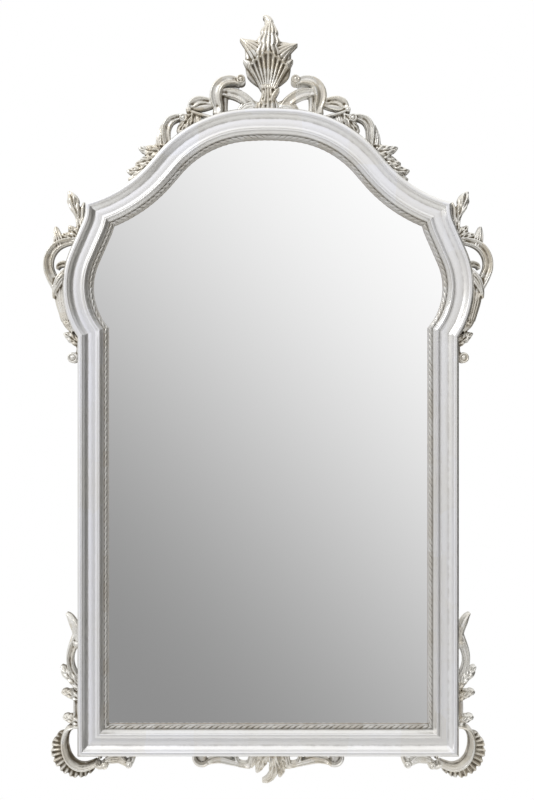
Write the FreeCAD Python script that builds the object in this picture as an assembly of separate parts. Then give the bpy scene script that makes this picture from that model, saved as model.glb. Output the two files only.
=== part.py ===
import FreeCAD
import Part
import math
import os

# Arched wall mirror in a silvered moulding with pierced, carved castings round its edge.
# Millimetres. X is across, Z is up, the front faces -Y and the wall is on the +Y side.
# While a piece is drawn, Y = 0 is the back face of the moulding and Z = 0 its bottom edge.

# Sight line, the edge of the glass that shows, right half from the crown down
SIGHT_HALF_WIDTH = 360.0
SIGHT_TOP = 1383.75
CROWN_RADIUS = 619.0
CROWN_SWEEP = 4.6
SHOULDER_RADIUS = 216.0
SLOPE_LEAN = 49.5
SLOPE_LENGTH = 29.0
HOLLOW_RADIUS = 346.5
HOLLOW_END = 10.0
NECK_RADIUS = 148.0
NECK_LEAN = 66.4
NECK_LENGTH = 67.7
NECK_START = 112.0
LOBE_RADIUS = 137.0
LOBE_ACROSS = 257.0
LOBE_UP = 1049.9
LOBE_END = 136.0

# Moulding: width outside the sight line, depth from the wall side to its highest ridge
MOULDING_WIDTH = 66.0
MOULDING_DEPTH = 44.0
SLIP_WIDTH = 10.5
SLIP_TOP_SHARE = 0.57
RAIL_FACE_SHARES = [
    [(0.25, 0.63), (0.335, 0.79)],
    [(0.37, 0.835), (0.41, 0.785)],
    [(0.425, 0.745)],
    [(0.57, 0.735), (0.71, 0.705)],
    [(0.735, 0.735)],
    [(0.82, 0.83), (0.91, 0.985)],
    [(0.935, 1.0)],
    [(0.985, 0.965), (1.0, 0.86)],
]
SLIP_FACE_SHARES = [
    [(0.05, 0.5)],
    [(0.42, 1.15), (0.82, 0.8)],
    [(1.0, 0.95)],
]

# What lies in the rebate behind the slip, from the wall side forward
PANEL_REST = 0.3
PANEL_THICKNESS = 4.0
GLASS_THICKNESS = 5.0
TAPE_THICKNESS = 1.5
TAPE_WIDTH = 6.0
GLASS_COVER = 8.0
SETTING_BLOCK_LENGTH = 40.0
SETTING_BLOCK_SHARE = 0.55

# Loose tongues across the mitres
TONGUE_ALONG = 26.0
TONGUE_ACROSS = 40.0
TONGUE_THICKNESS = 4.0
TONGUE_LIFT_SHARE = 0.34
TONGUE_PLACE_SHARE = 0.6

# Turn buttons that hold the back panel
BUTTON_LENGTH = 36.0
BUTTON_WIDTH = 12.0
BUTTON_THICKNESS = 2.0
BUTTON_OVERHANG = 5.0
BUTTON_GAP = 0.2
BUTTON_BORE_CLEARANCE = 0.05
BUTTON_STILE_HEIGHTS = [250.0, 720.0]
BUTTON_BOTTOM_ACROSS = 190.0
BUTTON_SHOULDER_LEAN = 30.0

# Pan-head screws
SCREW_RADIUS = 1.75
SCREW_LENGTH = 14.0
SCREW_HEAD_RADIUS = 3.5
SCREW_HEAD_HEIGHT = 2.0

# Mending plates that tie each casting to the moulding
PLATE_LENGTH = 44.0
PLATE_WIDTH = 14.0
PLATE_THICKNESS = 2.0
PLATE_HOLE_RADIUS = 2.0
PLATE_HOLE_SPACING = 28.0
PLATE_CROWN_ACROSS = 14.0
PLATE_SCROLL_ACROSS = 40.0
PLATE_NECK_SHARE = 0.5
PLATE_LOBE_LEAN = 108.0
PLATE_FOOT_UP = 130.0
PLATE_TAIL_ACROSS = 342.0

# Strap hangers with D rings
HANGER_HEIGHT = 905.0
HANGER_INSET = 36.0
STRAP_WIDTH = 18.0
STRAP_LENGTH = 46.0
STRAP_THICKNESS = 2.0
STRAP_HOLE_SPACING = 20.0
STRAP_HOLE_MARGIN = 6.0
RING_WIRE_RADIUS = 2.0
RING_RADIUS = 14.0
RING_BORE_CLEARANCE = 0.05

# Rubber bumpers against the wall
BUMPER_RADIUS = 9.0
BUMPER_THICKNESS = 8.0
BUMPER_BOTTOM_HEIGHT = 33.0
BUMPER_TOP_HEIGHT = 1085.0

# Castings: span is the length that their shares are taken of, relief their greatest height
CREST_SPAN = 225.0
CREST_RELIEF = 46.0
CREST_JOINT = 27.0
SPRAY_SPAN = 225.0
SPRAY_RELIEF = 42.0
ACANTHUS_SPAN = 225.0
ACANTHUS_RELIEF = 46.0
FOOT_SPAN = 225.0
FOOT_RELIEF = 46.0
APRON_SPAN = 225.0
APRON_RELIEF = 42.0
GLUE_LINE = 0.1
SIDE_WALL_SHARE = 0.62
SKIRT_STEP = 0.37

OVERRUN = 2500.0
RIB_COUNT = 7
RIB_FAN = 54.0

# Strokes of the carving: across, up and half width as shares of the span, then height as a
# share of the relief. A casting is the sum of its strokes, cut flat at the back.
PALMETTE_STROKES_SHARE = [
    [(0.0, -0.03, 0.125, 0.7), (0.0, 0.05, 0.112, 0.72), (0.0, 0.14, 0.095, 0.75), (0.0, 0.24, 0.09, 0.8),
     (0.0, 0.3, 0.12, 0.8)],
    [(0.0, 0.25, 0.1, 0.62), (0.0, 0.33, 0.19, 0.62), (0.0, 0.45, 0.215, 0.62), (0.0, 0.56, 0.185, 0.6),
     (0.0, 0.64, 0.12, 0.55)],
    [(0.0, 0.5, 0.13, 0.8), (0.0, 0.61, 0.118, 0.85), (0.0, 0.7, 0.1, 0.82), (0.0, 0.78, 0.072, 0.74),
     (-0.002, 0.84, 0.05, 0.66), (-0.012, 0.885, 0.03, 0.58), (-0.032, 0.915, 0.018, 0.5)],
]
PALMETTE_LEAF_SHARE = [(0.12, 0.47, 0.08, 0.66), (0.175, 0.565, 0.068, 0.7), (0.22, 0.64, 0.05, 0.62),
                       (0.25, 0.685, 0.03, 0.54), (0.272, 0.712, 0.014, 0.46)]
PALMETTE_LOBE_SHARE = [(0.1, 0.35, 0.07, 0.6), (0.18, 0.44, 0.055, 0.62), (0.225, 0.485, 0.03, 0.55),
                       (0.245, 0.505, 0.014, 0.48)]
RIB_START_SHARE = (0.0, 0.27)
RIB_INNER_SHARE = 0.05
RIB_SIDE_SHARE = 0.26
RIB_CENTRE_SHARE = 0.33
RIB_WIDTH_SHARE = 0.032
RIB_HEIGHT_SHARE = 0.95
CREST_SCROLL_STROKES_SHARE = [
    [(0.49, -0.05, 0.045, 0.72), (0.507, 0.05, 0.052, 0.8), (0.524, 0.13, 0.056, 0.88), (0.512, 0.21, 0.054, 0.95),
     (0.465, 0.27, 0.05, 0.98), (0.39, 0.292, 0.047, 1.0), (0.325, 0.29, 0.045, 0.98)],
    [(0.12, -0.05, 0.07, 0.68), (0.17, 0.04, 0.055, 0.74), (0.22, 0.105, 0.045, 0.78), (0.29, 0.135, 0.044, 0.8),
     (0.37, 0.138, 0.045, 0.78), (0.46, 0.12, 0.045, 0.72)],
    [(0.2, -0.05, 0.05, 0.6), (0.21, 0.0, 0.06, 0.6), (0.23, 0.03, 0.045, 0.56), (0.25, 0.06, 0.025, 0.5)],
]
CREST_SCROLL_EYES_SHARE = [(0.3, 0.285, 0.05, 1.0)]
SCROLL_JOINT_SHARE = [(0.536, -0.05), (0.582, 0.13)]
SPRAY_STROKES_SHARE = [
    [(-0.52, 0.5, 0.03, 0.7), (-0.475, 0.535, 0.045, 0.78), (-0.41, 0.54, 0.05, 0.84), (-0.345, 0.51, 0.048, 0.86),
     (-0.3, 0.46, 0.034, 0.84)],
    [(-0.47, 0.36, 0.06, 0.62), (-0.42, 0.47, 0.075, 0.66), (-0.36, 0.46, 0.06, 0.66), (-0.31, 0.44, 0.03, 0.64)],
    [(-0.4, 0.38, 0.07, 0.66), (-0.33, 0.36, 0.078, 0.7), (-0.25, 0.3, 0.07, 0.72), (-0.18, 0.25, 0.04, 0.66)],
    [(-0.24, 0.37, 0.035, 0.86), (-0.18, 0.365, 0.042, 0.92), (-0.115, 0.33, 0.046, 0.92), (-0.08, 0.25, 0.05, 0.88),
     (-0.055, 0.15, 0.06, 0.8), (-0.04, 0.05, 0.06, 0.72)],
    [(-0.02, 0.06, 0.07, 0.7), (0.06, 0.068, 0.055, 0.7), (0.13, 0.072, 0.032, 0.6), (0.19, 0.076, 0.014, 0.5)],
    [(0.0, 0.0, 0.08, 0.74), (0.1, -0.04, 0.065, 0.72), (0.17, -0.072, 0.034, 0.62), (0.22, -0.08, 0.014, 0.5)],
    [(0.06, -0.1, 0.08, 0.7), (0.17, -0.165, 0.06, 0.7), (0.245, -0.175, 0.032, 0.6), (0.3, -0.15, 0.014, 0.5)],
    [(0.14, -0.2, 0.06, 0.66), (0.22, -0.23, 0.045, 0.62), (0.27, -0.235, 0.03, 0.56), (0.305, -0.228, 0.014, 0.5)],
    [(0.14, -0.2, 0.05, 0.6), (0.2, -0.26, 0.045, 0.56), (0.25, -0.31, 0.024, 0.5)],
]
SPRAY_EYES_SHARE = [(-0.298, 0.455, 0.04, 0.88), (-0.245, 0.372, 0.044, 0.94)]
ACANTHUS_STROKES_SHARE = [
    [(-0.16, 0.56, 0.05, 0.66), (-0.14, 0.68, 0.04, 0.7), (-0.118, 0.79, 0.036, 0.72), (-0.082, 0.86, 0.042, 0.74),
     (-0.052, 0.915, 0.028, 0.66), (-0.034, 0.948, 0.013, 0.55)],
    [(-0.18, 0.58, 0.03, 0.6), (-0.182, 0.72, 0.022, 0.6), (-0.195, 0.79, 0.018, 0.56), (-0.21, 0.835, 0.011, 0.5)],
    [(-0.18, 0.5, 0.07, 0.7), (-0.11, 0.545, 0.08, 0.74), (-0.06, 0.5, 0.07, 0.74)],
    [(-0.04, 0.47, 0.055, 0.8), (0.02, 0.53, 0.042, 0.78), (0.055, 0.575, 0.024, 0.68), (0.068, 0.606, 0.011, 0.58)],
    [(-0.17, 0.52, 0.05, 0.74), (-0.06, 0.475, 0.05, 0.84), (0.035, 0.425, 0.052, 0.92), (0.115, 0.33, 0.052, 0.98),
     (0.148, 0.215, 0.048, 1.0), (0.12, 0.105, 0.052, 0.98), (0.06, 0.005, 0.062, 0.92), (0.03, -0.12, 0.07, 0.86),
     (-0.01, -0.275, 0.06, 0.78), (-0.055, -0.43, 0.046, 0.7), (-0.11, -0.54, 0.036, 0.6), (-0.17, -0.575, 0.02, 0.5)],
    [(-0.02, 0.0, 0.06, 0.6), (-0.03, -0.15, 0.06, 0.62), (-0.07, -0.3, 0.06, 0.6), (-0.13, -0.42, 0.05, 0.56),
     (-0.17, -0.5, 0.04, 0.52)],
    [(-0.15, 0.06, 0.055, 0.62), (-0.07, 0.185, 0.05, 0.72), (0.0, 0.25, 0.04, 0.8), (0.048, 0.23, 0.03, 0.82)],
    [(0.0, 0.08, 0.06, 0.66), (-0.03, 0.15, 0.07, 0.66), (-0.09, 0.13, 0.07, 0.62)],
    [(-0.13, -0.45, 0.03, 0.7), (-0.065, -0.495, 0.03, 0.68), (-0.012, -0.478, 0.013, 0.6)],
    [(-0.155, -0.54, 0.03, 0.5), (-0.152, -0.63, 0.018, 0.5), (-0.15, -0.72, 0.022, 0.5)],
]
ACANTHUS_EYES_SHARE = [(0.052, 0.21, 0.038, 0.86), (-0.112, -0.706, 0.052, 0.8)]
FOOT_STROKES_SHARE = [
    [(0.0, 1.31, 0.035, 0.56), (0.055, 1.36, 0.026, 0.56), (0.1, 1.4, 0.012, 0.5)],
    [(0.01, 1.3, 0.04, 0.56), (0.039, 1.16, 0.042, 0.64), (0.07, 1.06, 0.042, 0.68), (0.088, 0.96, 0.04, 0.72),
     (0.086, 0.87, 0.038, 0.74), (0.058, 0.78, 0.038, 0.74), (0.02, 0.7, 0.038, 0.68), (-0.005, 0.62, 0.035, 0.6)],
    [(0.03, 0.72, 0.04, 0.7), (0.105, 0.8, 0.042, 0.76), (0.158, 0.85, 0.026, 0.68), (0.19, 0.872, 0.012, 0.58)],
    [(0.0, 0.48, 0.045, 0.66), (0.068, 0.58, 0.047, 0.74), (0.128, 0.61, 0.03, 0.68), (0.17, 0.632, 0.012, 0.58)],
    [(0.015, 0.66, 0.03, 0.5), (0.026, 0.48, 0.03, 0.56), (0.005, 0.3, 0.04, 0.62)],
    [(0.03, 0.29, 0.042, 0.8), (0.11, 0.35, 0.042, 0.84), (0.17, 0.385, 0.015, 0.66)],
    [(-0.03, 0.275, 0.042, 0.84), (0.079, 0.24, 0.045, 0.94), (0.133, 0.17, 0.052, 1.0), (0.158, 0.06, 0.058, 1.0),
     (0.143, -0.05, 0.06, 1.0), (0.085, -0.12, 0.058, 0.98), (-0.01, -0.15, 0.055, 0.96), (-0.11, -0.13, 0.052, 0.9),
     (-0.181, -0.08, 0.045, 0.8)],
    [(-0.16, -0.07, 0.042, 0.76), (-0.231, -0.105, 0.035, 0.8), (-0.291, -0.075, 0.03, 0.76),
     (-0.37, -0.055, 0.042, 0.7), (-0.441, -0.08, 0.03, 0.74), (-0.5, -0.1, 0.03, 0.78)],
    [(-0.24, 0.03, 0.03, 0.5), (-0.31, -0.02, 0.04, 0.56), (-0.37, -0.03, 0.045, 0.6), (-0.42, 0.03, 0.03, 0.5)],
    [(-0.51, -0.1, 0.03, 0.76), (-0.545, -0.05, 0.02, 0.66), (-0.55, 0.03, 0.02, 0.56)],
]
FOOT_EYES_SHARE = [(-0.505, -0.1, 0.036, 0.84)]
SCALLOP_CENTRE_SHARE = (0.035, 0.04)
SCALLOP_REACH_SHARE = 0.195
SCALLOP_WIDTH_SHARE = 0.026
SCALLOP_HEIGHT_SHARE = 0.66
SCALLOP_COUNT = 9
SCALLOP_FIRST = 66.0
SCALLOP_LAST = 206.0
APRON_CENTRE_STROKES_SHARE = [
    [(0.0, 0.05, 0.14, 0.62), (0.0, -0.06, 0.13, 0.72), (0.0, -0.12, 0.105, 0.8), (-0.005, -0.18, 0.075, 0.8),
     (-0.03, -0.235, 0.042, 0.7), (-0.06, -0.262, 0.018, 0.6)],
    [(-0.08, -0.03, 0.05, 0.7), (-0.12, -0.09, 0.045, 0.78), (-0.138, -0.15, 0.025, 0.7), (-0.13, -0.175, 0.012, 0.6)],
    [(0.08, -0.03, 0.05, 0.7), (0.12, -0.08, 0.045, 0.78), (0.15, -0.14, 0.022, 0.66)],
    [(0.05, -0.12, 0.045, 0.7), (0.09, -0.2, 0.035, 0.7), (0.1, -0.25, 0.015, 0.6)],
]
APRON_SIDE_STROKES_SHARE = [
    [(0.1, -0.04, 0.045, 0.66), (0.18, -0.08, 0.032, 0.7), (0.25, -0.092, 0.028, 0.74), (0.32, -0.08, 0.03, 0.74),
     (0.41, -0.076, 0.035, 0.7), (0.5, -0.08, 0.035, 0.7), (0.6, -0.078, 0.033, 0.72), (0.665, -0.065, 0.035, 0.72)],
    [(0.31, 0.03, 0.022, 0.5), (0.315, -0.05, 0.024, 0.56)],
    [(0.66, 0.03, 0.045, 0.56), (0.672, -0.04, 0.048, 0.66), (0.69, -0.085, 0.03, 0.66)],
]
APRON_EYES_SHARE = [(0.68, -0.058, 0.052, 0.78)]


def heading(lean):
    """Direction in the XZ plane that leans by an angle in degrees from straight up."""
    turn = math.radians(lean)
    return FreeCAD.Vector(math.sin(turn), 0, math.cos(turn))


def lying(height):
    """Step from the back face of the moulding to a height in front of it."""
    return FreeCAD.Vector(0, -height, 0)


class Bend:
    """Arc of the sight line about a centre. A hollow bend has its centre outside the mirror."""

    def __init__(self, centre, radius, start, end, hollow):
        self.centre = centre
        self.radius = radius
        self.start = start
        self.end = end
        self.hollow = hollow

    def point(self, lean, outward):
        if self.hollow:
            return self.centre - heading(lean) * (self.radius - outward)
        return self.centre + heading(lean) * (self.radius + outward)

    def lean_of(self, point):
        ray = self.centre - point if self.hollow else point - self.centre
        return math.degrees(math.atan2(ray.x, ray.z))

    def edge(self, start, end, outward):
        middle = (start + end) / 2
        arc = Part.Arc(self.point(start, outward), self.point(middle, outward), self.point(end, outward))
        return arc.toShape()

    def solid(self, face_at):
        face = face_at(self.point(self.start, 0), heading(self.start))
        return face.revolve(self.centre, FreeCAD.Vector(0, 1, 0), self.end - self.start)


class Run:
    """Straight stretch of the sight line with its outward lean."""

    def __init__(self, start, end, lean):
        self.start = start
        self.end = end
        self.lean = lean

    def point(self, share, outward):
        return self.start + (self.end - self.start) * share + heading(self.lean) * outward

    def solid(self, face_at):
        return face_at(self.start, heading(self.lean)).extrude(self.end - self.start)


def left_crossing(radius_one, centre_one, radius_two, centre_two):
    """Crossing of two circles in the XZ plane that lies further to the left."""
    between = centre_two - centre_one
    along = (radius_one ** 2 - radius_two ** 2 + between.Length ** 2) / (2 * between.Length)
    aside = math.sqrt(radius_one ** 2 - along ** 2)
    unit = between / between.Length
    square = FreeCAD.Vector(unit.z, 0, -unit.x)
    found = [centre_one + unit * along + square * aside, centre_one + unit * along - square * aside]
    return min(found, key=lambda point: point.x)


crown = Bend(FreeCAD.Vector(0, 0, SIGHT_TOP - CROWN_RADIUS), CROWN_RADIUS, 0, CROWN_SWEEP, False)
shoulder_centre = crown.centre + heading(CROWN_SWEEP) * (CROWN_RADIUS - SHOULDER_RADIUS)
shoulder = Bend(shoulder_centre, SHOULDER_RADIUS, CROWN_SWEEP, SLOPE_LEAN, False)
slope_start = shoulder.point(SLOPE_LEAN, 0)
slope_along = FreeCAD.Vector(heading(SLOPE_LEAN).z, 0, -heading(SLOPE_LEAN).x)
slope = Run(slope_start, slope_start + slope_along * SLOPE_LENGTH, SLOPE_LEAN)
hollow = Bend(slope.end + heading(SLOPE_LEAN) * HOLLOW_RADIUS, HOLLOW_RADIUS, SLOPE_LEAN, HOLLOW_END, True)
lobe = Bend(FreeCAD.Vector(LOBE_ACROSS, 0, LOBE_UP), LOBE_RADIUS, NECK_LEAN, LOBE_END, False)
neck_foot = lobe.point(NECK_LEAN, 0)
neck_along = FreeCAD.Vector(-heading(NECK_LEAN).z, 0, heading(NECK_LEAN).x)
neck_run = Run(neck_foot + neck_along * NECK_LENGTH, neck_foot, NECK_LEAN)
neck = Bend(neck_run.start + heading(NECK_LEAN) * NECK_RADIUS, NECK_RADIUS, NECK_START, NECK_LEAN, True)


def upper_corner(outward):
    """Where the arch and the neck meet, at a distance outside the sight line."""
    return left_crossing(HOLLOW_RADIUS - outward, hollow.centre, NECK_RADIUS - outward, neck.centre)


def lower_corner(outward):
    """Where the lobe and the stile meet."""
    across = SIGHT_HALF_WIDTH + outward
    drop = math.sqrt((LOBE_RADIUS + outward) ** 2 - (across - LOBE_ACROSS) ** 2)
    return FreeCAD.Vector(across, 0, LOBE_UP - drop)


def foot_corner(outward):
    """Where the stile and the bottom rail meet."""
    return FreeCAD.Vector(SIGHT_HALF_WIDTH + outward, 0, MOULDING_WIDTH - outward)


def line(start, end):
    return Part.LineSegment(start, end).toShape()


def half_edges(outward):
    """Right half of the outline at a distance outside the sight line, crown to bottom."""
    high = upper_corner(outward)
    low = lower_corner(outward)
    foot = foot_corner(outward)
    return [
        crown.edge(crown.start, crown.end, outward),
        shoulder.edge(shoulder.start, shoulder.end, outward),
        line(slope.point(0, outward), slope.point(1, outward)),
        hollow.edge(hollow.start, hollow.lean_of(high), outward),
        neck.edge(neck.lean_of(high), neck.end, outward),
        line(neck_run.point(0, outward), neck_run.point(1, outward)),
        lobe.edge(lobe.start, lobe.lean_of(low), outward),
        line(low, foot),
        line(foot, FreeCAD.Vector(0, 0, foot.z)),
    ]


def mirrored(shape):
    return shape.mirror(FreeCAD.Vector(0, 0, 0), FreeCAD.Vector(1, 0, 0))


def sheet(outward, low, high):
    """Flat sheet with the mirror's outline, between two heights in front of the back face."""
    right = half_edges(outward)
    edges = right + [mirrored(edge) for edge in right]
    wire = Part.Wire(Part.sortEdges(edges)[0])
    return Part.Face(wire).extrude(lying(high - low)).translated(lying(low))


def section_face(corners, steps):
    """Maker of a profile face, from its plain corners and its carved front, for any place."""

    def face_at(origin, outward):
        def place(pair):
            return origin + outward * pair[0] + lying(pair[1])

        edges = []
        last = corners[-1]
        for step in steps:
            if len(step) == 2:
                edges.append(Part.Arc(place(last), place(step[0]), place(step[1])).toShape())
            else:
                edges.append(line(place(last), place(step[0])))
            last = step[-1]
        for corner in corners:
            edges.append(line(place(last), place(corner)))
            last = corner
        return Part.Face(Part.Wire(edges))

    return face_at


slip_back = PANEL_REST + PANEL_THICKNESS + GLASS_THICKNESS + TAPE_THICKNESS
slip_top = MOULDING_DEPTH * SLIP_TOP_SHARE
rail_face = section_face(
    [(MOULDING_WIDTH, 0), (SLIP_WIDTH, 0), (SLIP_WIDTH, slip_top)],
    [[(MOULDING_WIDTH * across, MOULDING_DEPTH * up) for across, up in step] for step in RAIL_FACE_SHARES])
slip_face = section_face(
    [(SLIP_WIDTH, slip_back), (0, slip_back)],
    [[(SLIP_WIDTH * across, slip_back + (slip_top - slip_back) * up) for across, up in step]
     for step in SLIP_FACE_SHARES])


def keep_side(shape, inner, outer, inside):
    """Part of a shape on the side of the line through two points that holds a third."""
    along = (outer - inner) / (outer - inner).Length
    square = FreeCAD.Vector(along.z, 0, -along.x)
    if square.dot(inside - inner) < 0:
        square = square * -1
    start = inner - along * OVERRUN
    end = inner + along * OVERRUN
    corners = [start, end, end + square * OVERRUN, start + square * OVERRUN, start]
    block = Part.Face(Part.makePolygon(corners)).extrude(lying(OVERRUN))
    return shape.common(block.translated(lying(-OVERRUN / 2)))


def joined(solids):
    """One solid from solids that meet or overlap."""
    whole = solids[0]
    if len(solids) > 1:
        whole = solids[0].multiFuse(solids[1:]).removeSplitter()
    return whole


def swept(stretches, face_at):
    return joined([stretch.solid(face_at) for stretch in stretches])


def arch_length(face_at):
    """Right half of the arch, from the crown to the mitre at the upper corner."""
    whole = swept([crown, shoulder, slope, hollow], face_at)
    return keep_side(whole, upper_corner(0), upper_corner(MOULDING_WIDTH), crown.point(0, 0)).Solids[0]


def shoulder_length(face_at):
    """Right neck and lobe, between the mitres at the upper and lower corners."""
    whole = swept([neck, neck_run, lobe], face_at)
    whole = keep_side(whole, upper_corner(0), upper_corner(MOULDING_WIDTH), lobe.centre)
    return keep_side(whole, lower_corner(0), lower_corner(MOULDING_WIDTH), lobe.centre).Solids[0]


def stile_length(face_at):
    """Right stile between its two mitres."""
    top = lower_corner(MOULDING_WIDTH) + heading(0) * MOULDING_WIDTH
    start = FreeCAD.Vector(SIGHT_HALF_WIDTH, 0, top.z)
    whole = Run(start, FreeCAD.Vector(SIGHT_HALF_WIDTH, 0, 0), 90).solid(face_at)
    inside = FreeCAD.Vector(SIGHT_HALF_WIDTH, 0, SIGHT_HALF_WIDTH)
    whole = keep_side(whole, lower_corner(0), lower_corner(MOULDING_WIDTH), inside)
    return keep_side(whole, foot_corner(0), foot_corner(MOULDING_WIDTH), inside).Solids[0]


def bottom_length(face_at):
    """Bottom rail between its two mitres."""
    half = SIGHT_HALF_WIDTH + MOULDING_WIDTH
    start = FreeCAD.Vector(half, 0, MOULDING_WIDTH)
    whole = Run(start, FreeCAD.Vector(-half, 0, MOULDING_WIDTH), 180).solid(face_at)
    inside = FreeCAD.Vector(0, 0, 0)
    for side in (1, -1):
        inner = foot_corner(0)
        outer = foot_corner(MOULDING_WIDTH)
        inner.x = inner.x * side
        outer.x = outer.x * side
        whole = keep_side(whole, inner, outer, inside)
    return whole.Solids[0]


def slab(centre, outward, long_side, wide_side, low, high):
    """Box about a centre in the XZ plane, its long side along the outward direction."""
    aside = FreeCAD.Vector(outward.z, 0, -outward.x) * (wide_side / 2)
    along = outward * (long_side / 2)
    corners = [centre + along + aside, centre - along + aside, centre - along - aside, centre + along - aside]
    face = Part.Face(Part.makePolygon(corners + corners[:1]))
    return face.extrude(lying(high - low)).translated(lying(low))


def post(centre, radius, low, high):
    """Round post along Y about a centre in the XZ plane."""
    forward = FreeCAD.Vector(0, -1, 0)
    return Part.makeCylinder(radius, high - low, centre + lying(low), forward)


def tongues():
    """Loose tongues across the mitres and the crown joint, right half first."""
    low = MOULDING_DEPTH * TONGUE_LIFT_SHARE - TONGUE_THICKNESS / 2
    found = []
    for corner in (upper_corner, lower_corner, foot_corner):
        inner = corner(0)
        outer = corner(MOULDING_WIDTH)
        along = (outer - inner) / (outer - inner).Length
        centre = inner + (outer - inner) * TONGUE_PLACE_SHARE
        found.append(slab(centre, along, TONGUE_ALONG, TONGUE_ACROSS, low, low + TONGUE_THICKNESS))
    pair = found + [mirrored(solid) for solid in found]
    centre = crown.point(0, MOULDING_WIDTH * TONGUE_PLACE_SHARE)
    pair.append(slab(centre, heading(0), TONGUE_ALONG, TONGUE_ACROSS, low, low + TONGUE_THICKNESS))
    return pair


def both_sides(places):
    """The places of a right half and their mirror images, each a point and an outward direction."""
    left = []
    for point, outward in places:
        left.append((FreeCAD.Vector(-point.x, 0, point.z), FreeCAD.Vector(-outward.x, 0, outward.z)))
    return places + left


button_pivot_out = GLASS_COVER - BUTTON_OVERHANG + BUTTON_LENGTH - BUTTON_WIDTH / 2
button_places = both_sides(
    [(FreeCAD.Vector(SIGHT_HALF_WIDTH + button_pivot_out, 0, height), heading(90)) for height in BUTTON_STILE_HEIGHTS]
    + [(FreeCAD.Vector(BUTTON_BOTTOM_ACROSS, 0, MOULDING_WIDTH - button_pivot_out), heading(180)),
       (shoulder.point(BUTTON_SHOULDER_LEAN, button_pivot_out), heading(BUTTON_SHOULDER_LEAN))])

plate_places = both_sides([
    (FreeCAD.Vector(PLATE_CROWN_ACROSS, 0, SIGHT_TOP + MOULDING_WIDTH), heading(0)),
    (crown.point(math.degrees(PLATE_SCROLL_ACROSS / CROWN_RADIUS), MOULDING_WIDTH), heading(0)),
    (slope.point(0, MOULDING_WIDTH), heading(SLOPE_LEAN)),
    (neck_run.point(PLATE_NECK_SHARE, MOULDING_WIDTH), heading(NECK_LEAN)),
    (lobe.point(PLATE_LOBE_LEAN, MOULDING_WIDTH), heading(PLATE_LOBE_LEAN)),
    (FreeCAD.Vector(SIGHT_HALF_WIDTH + MOULDING_WIDTH, 0, PLATE_FOOT_UP), heading(90)),
    (FreeCAD.Vector(PLATE_TAIL_ACROSS, 0, 0), heading(180)),
]) + [(FreeCAD.Vector(0, 0, 0), heading(180))]

hanger_places = both_sides([(FreeCAD.Vector(SIGHT_HALF_WIDTH + HANGER_INSET, 0, HANGER_HEIGHT), heading(90))])
ring_lift = RING_WIRE_RADIUS * 2
bumper_places = both_sides([
    (FreeCAD.Vector(SIGHT_HALF_WIDTH + MOULDING_WIDTH / 2, 0, BUMPER_BOTTOM_HEIGHT), heading(90)),
    (FreeCAD.Vector(LOBE_ACROSS + LOBE_RADIUS + MOULDING_WIDTH / 2, 0, BUMPER_TOP_HEIGHT), heading(90)),
])


def plate_screw_points():
    """Where the two screws of each mending plate go."""
    found = []
    for centre, outward in plate_places:
        found.append(centre + outward * (PLATE_HOLE_SPACING / 2))
        found.append(centre - outward * (PLATE_HOLE_SPACING / 2))
    return found


def strap_screw_points():
    """Where the two screws of each hanger strap go, below its ring."""
    found = []
    for centre, outward in hanger_places:
        first = STRAP_LENGTH - STRAP_HOLE_MARGIN - STRAP_HOLE_SPACING
        found.append(centre - heading(0) * first)
        found.append(centre - heading(0) * (first + STRAP_HOLE_SPACING))
    return found


def screw(centre, seat):
    """Pan-head screw driven forward, its head's underside at a height behind the back face."""
    shank = post(centre, SCREW_RADIUS, -seat, SCREW_LENGTH - seat)
    head = post(centre, SCREW_HEAD_RADIUS, -seat - SCREW_HEAD_HEIGHT, -seat)
    return shank.fuse(head).removeSplitter()


button_seat = BUTTON_THICKNESS + BUTTON_GAP * 2
plate_screws = [screw(point, PLATE_THICKNESS) for point in plate_screw_points()]
strap_screws = [screw(point, STRAP_THICKNESS) for point in strap_screw_points()]
button_screws = [screw(point, button_seat) for point, outward in button_places]
every_tongue = tongues()
every_screw = plate_screws + strap_screws + button_screws


def drilled(solid, tools):
    """A solid with the room that the pieces in a list take up cut out of it."""
    near = [tool for tool in tools if tool.BoundBox.intersect(solid.BoundBox)]
    if near:
        solid = solid.cut(near)
    return solid.Solids[0]


def stroke(points, span, relief, anchor, skirt):
    """Domed ridge through a row of points, with a skirt behind the back face to be cut off."""
    centres = [anchor + FreeCAD.Vector(across * span, 0, up * span) for across, up, half, rise in points]
    sections = []
    for index, (across, up, half, rise) in enumerate(points):
        before = centres[max(index - 1, 0)]
        after = centres[min(index + 1, len(points) - 1)]
        along = (after - before) / (after - before).Length
        aside = FreeCAD.Vector(along.z, 0, -along.x) * (half * span)
        top = relief * rise
        wall = top * SIDE_WALL_SHARE
        centre = centres[index]
        left = centre - aside + lying(wall)
        right = centre + aside + lying(wall)
        sections.append(Part.Wire([
            line(centre - aside + lying(-skirt), centre + aside + lying(-skirt)),
            line(centre + aside + lying(-skirt), right),
            Part.Arc(right, centre + lying(top), left).toShape(),
            line(left, centre - aside + lying(-skirt)),
        ]))
    return Part.makeLoft(sections, True, len(points) == 2)


def eye(place, span, relief, anchor):
    """Domed round boss at the end of a scroll."""
    across, up, half, rise = place
    centre = anchor + FreeCAD.Vector(across * span, 0, up * span)
    radius = half * span
    wall = relief * rise * SIDE_WALL_SHARE
    body = post(centre, radius, -SKIRT_STEP, wall)
    dome = Part.makeSphere(radius, centre + lying(wall))
    return body.fuse(dome)


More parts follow.
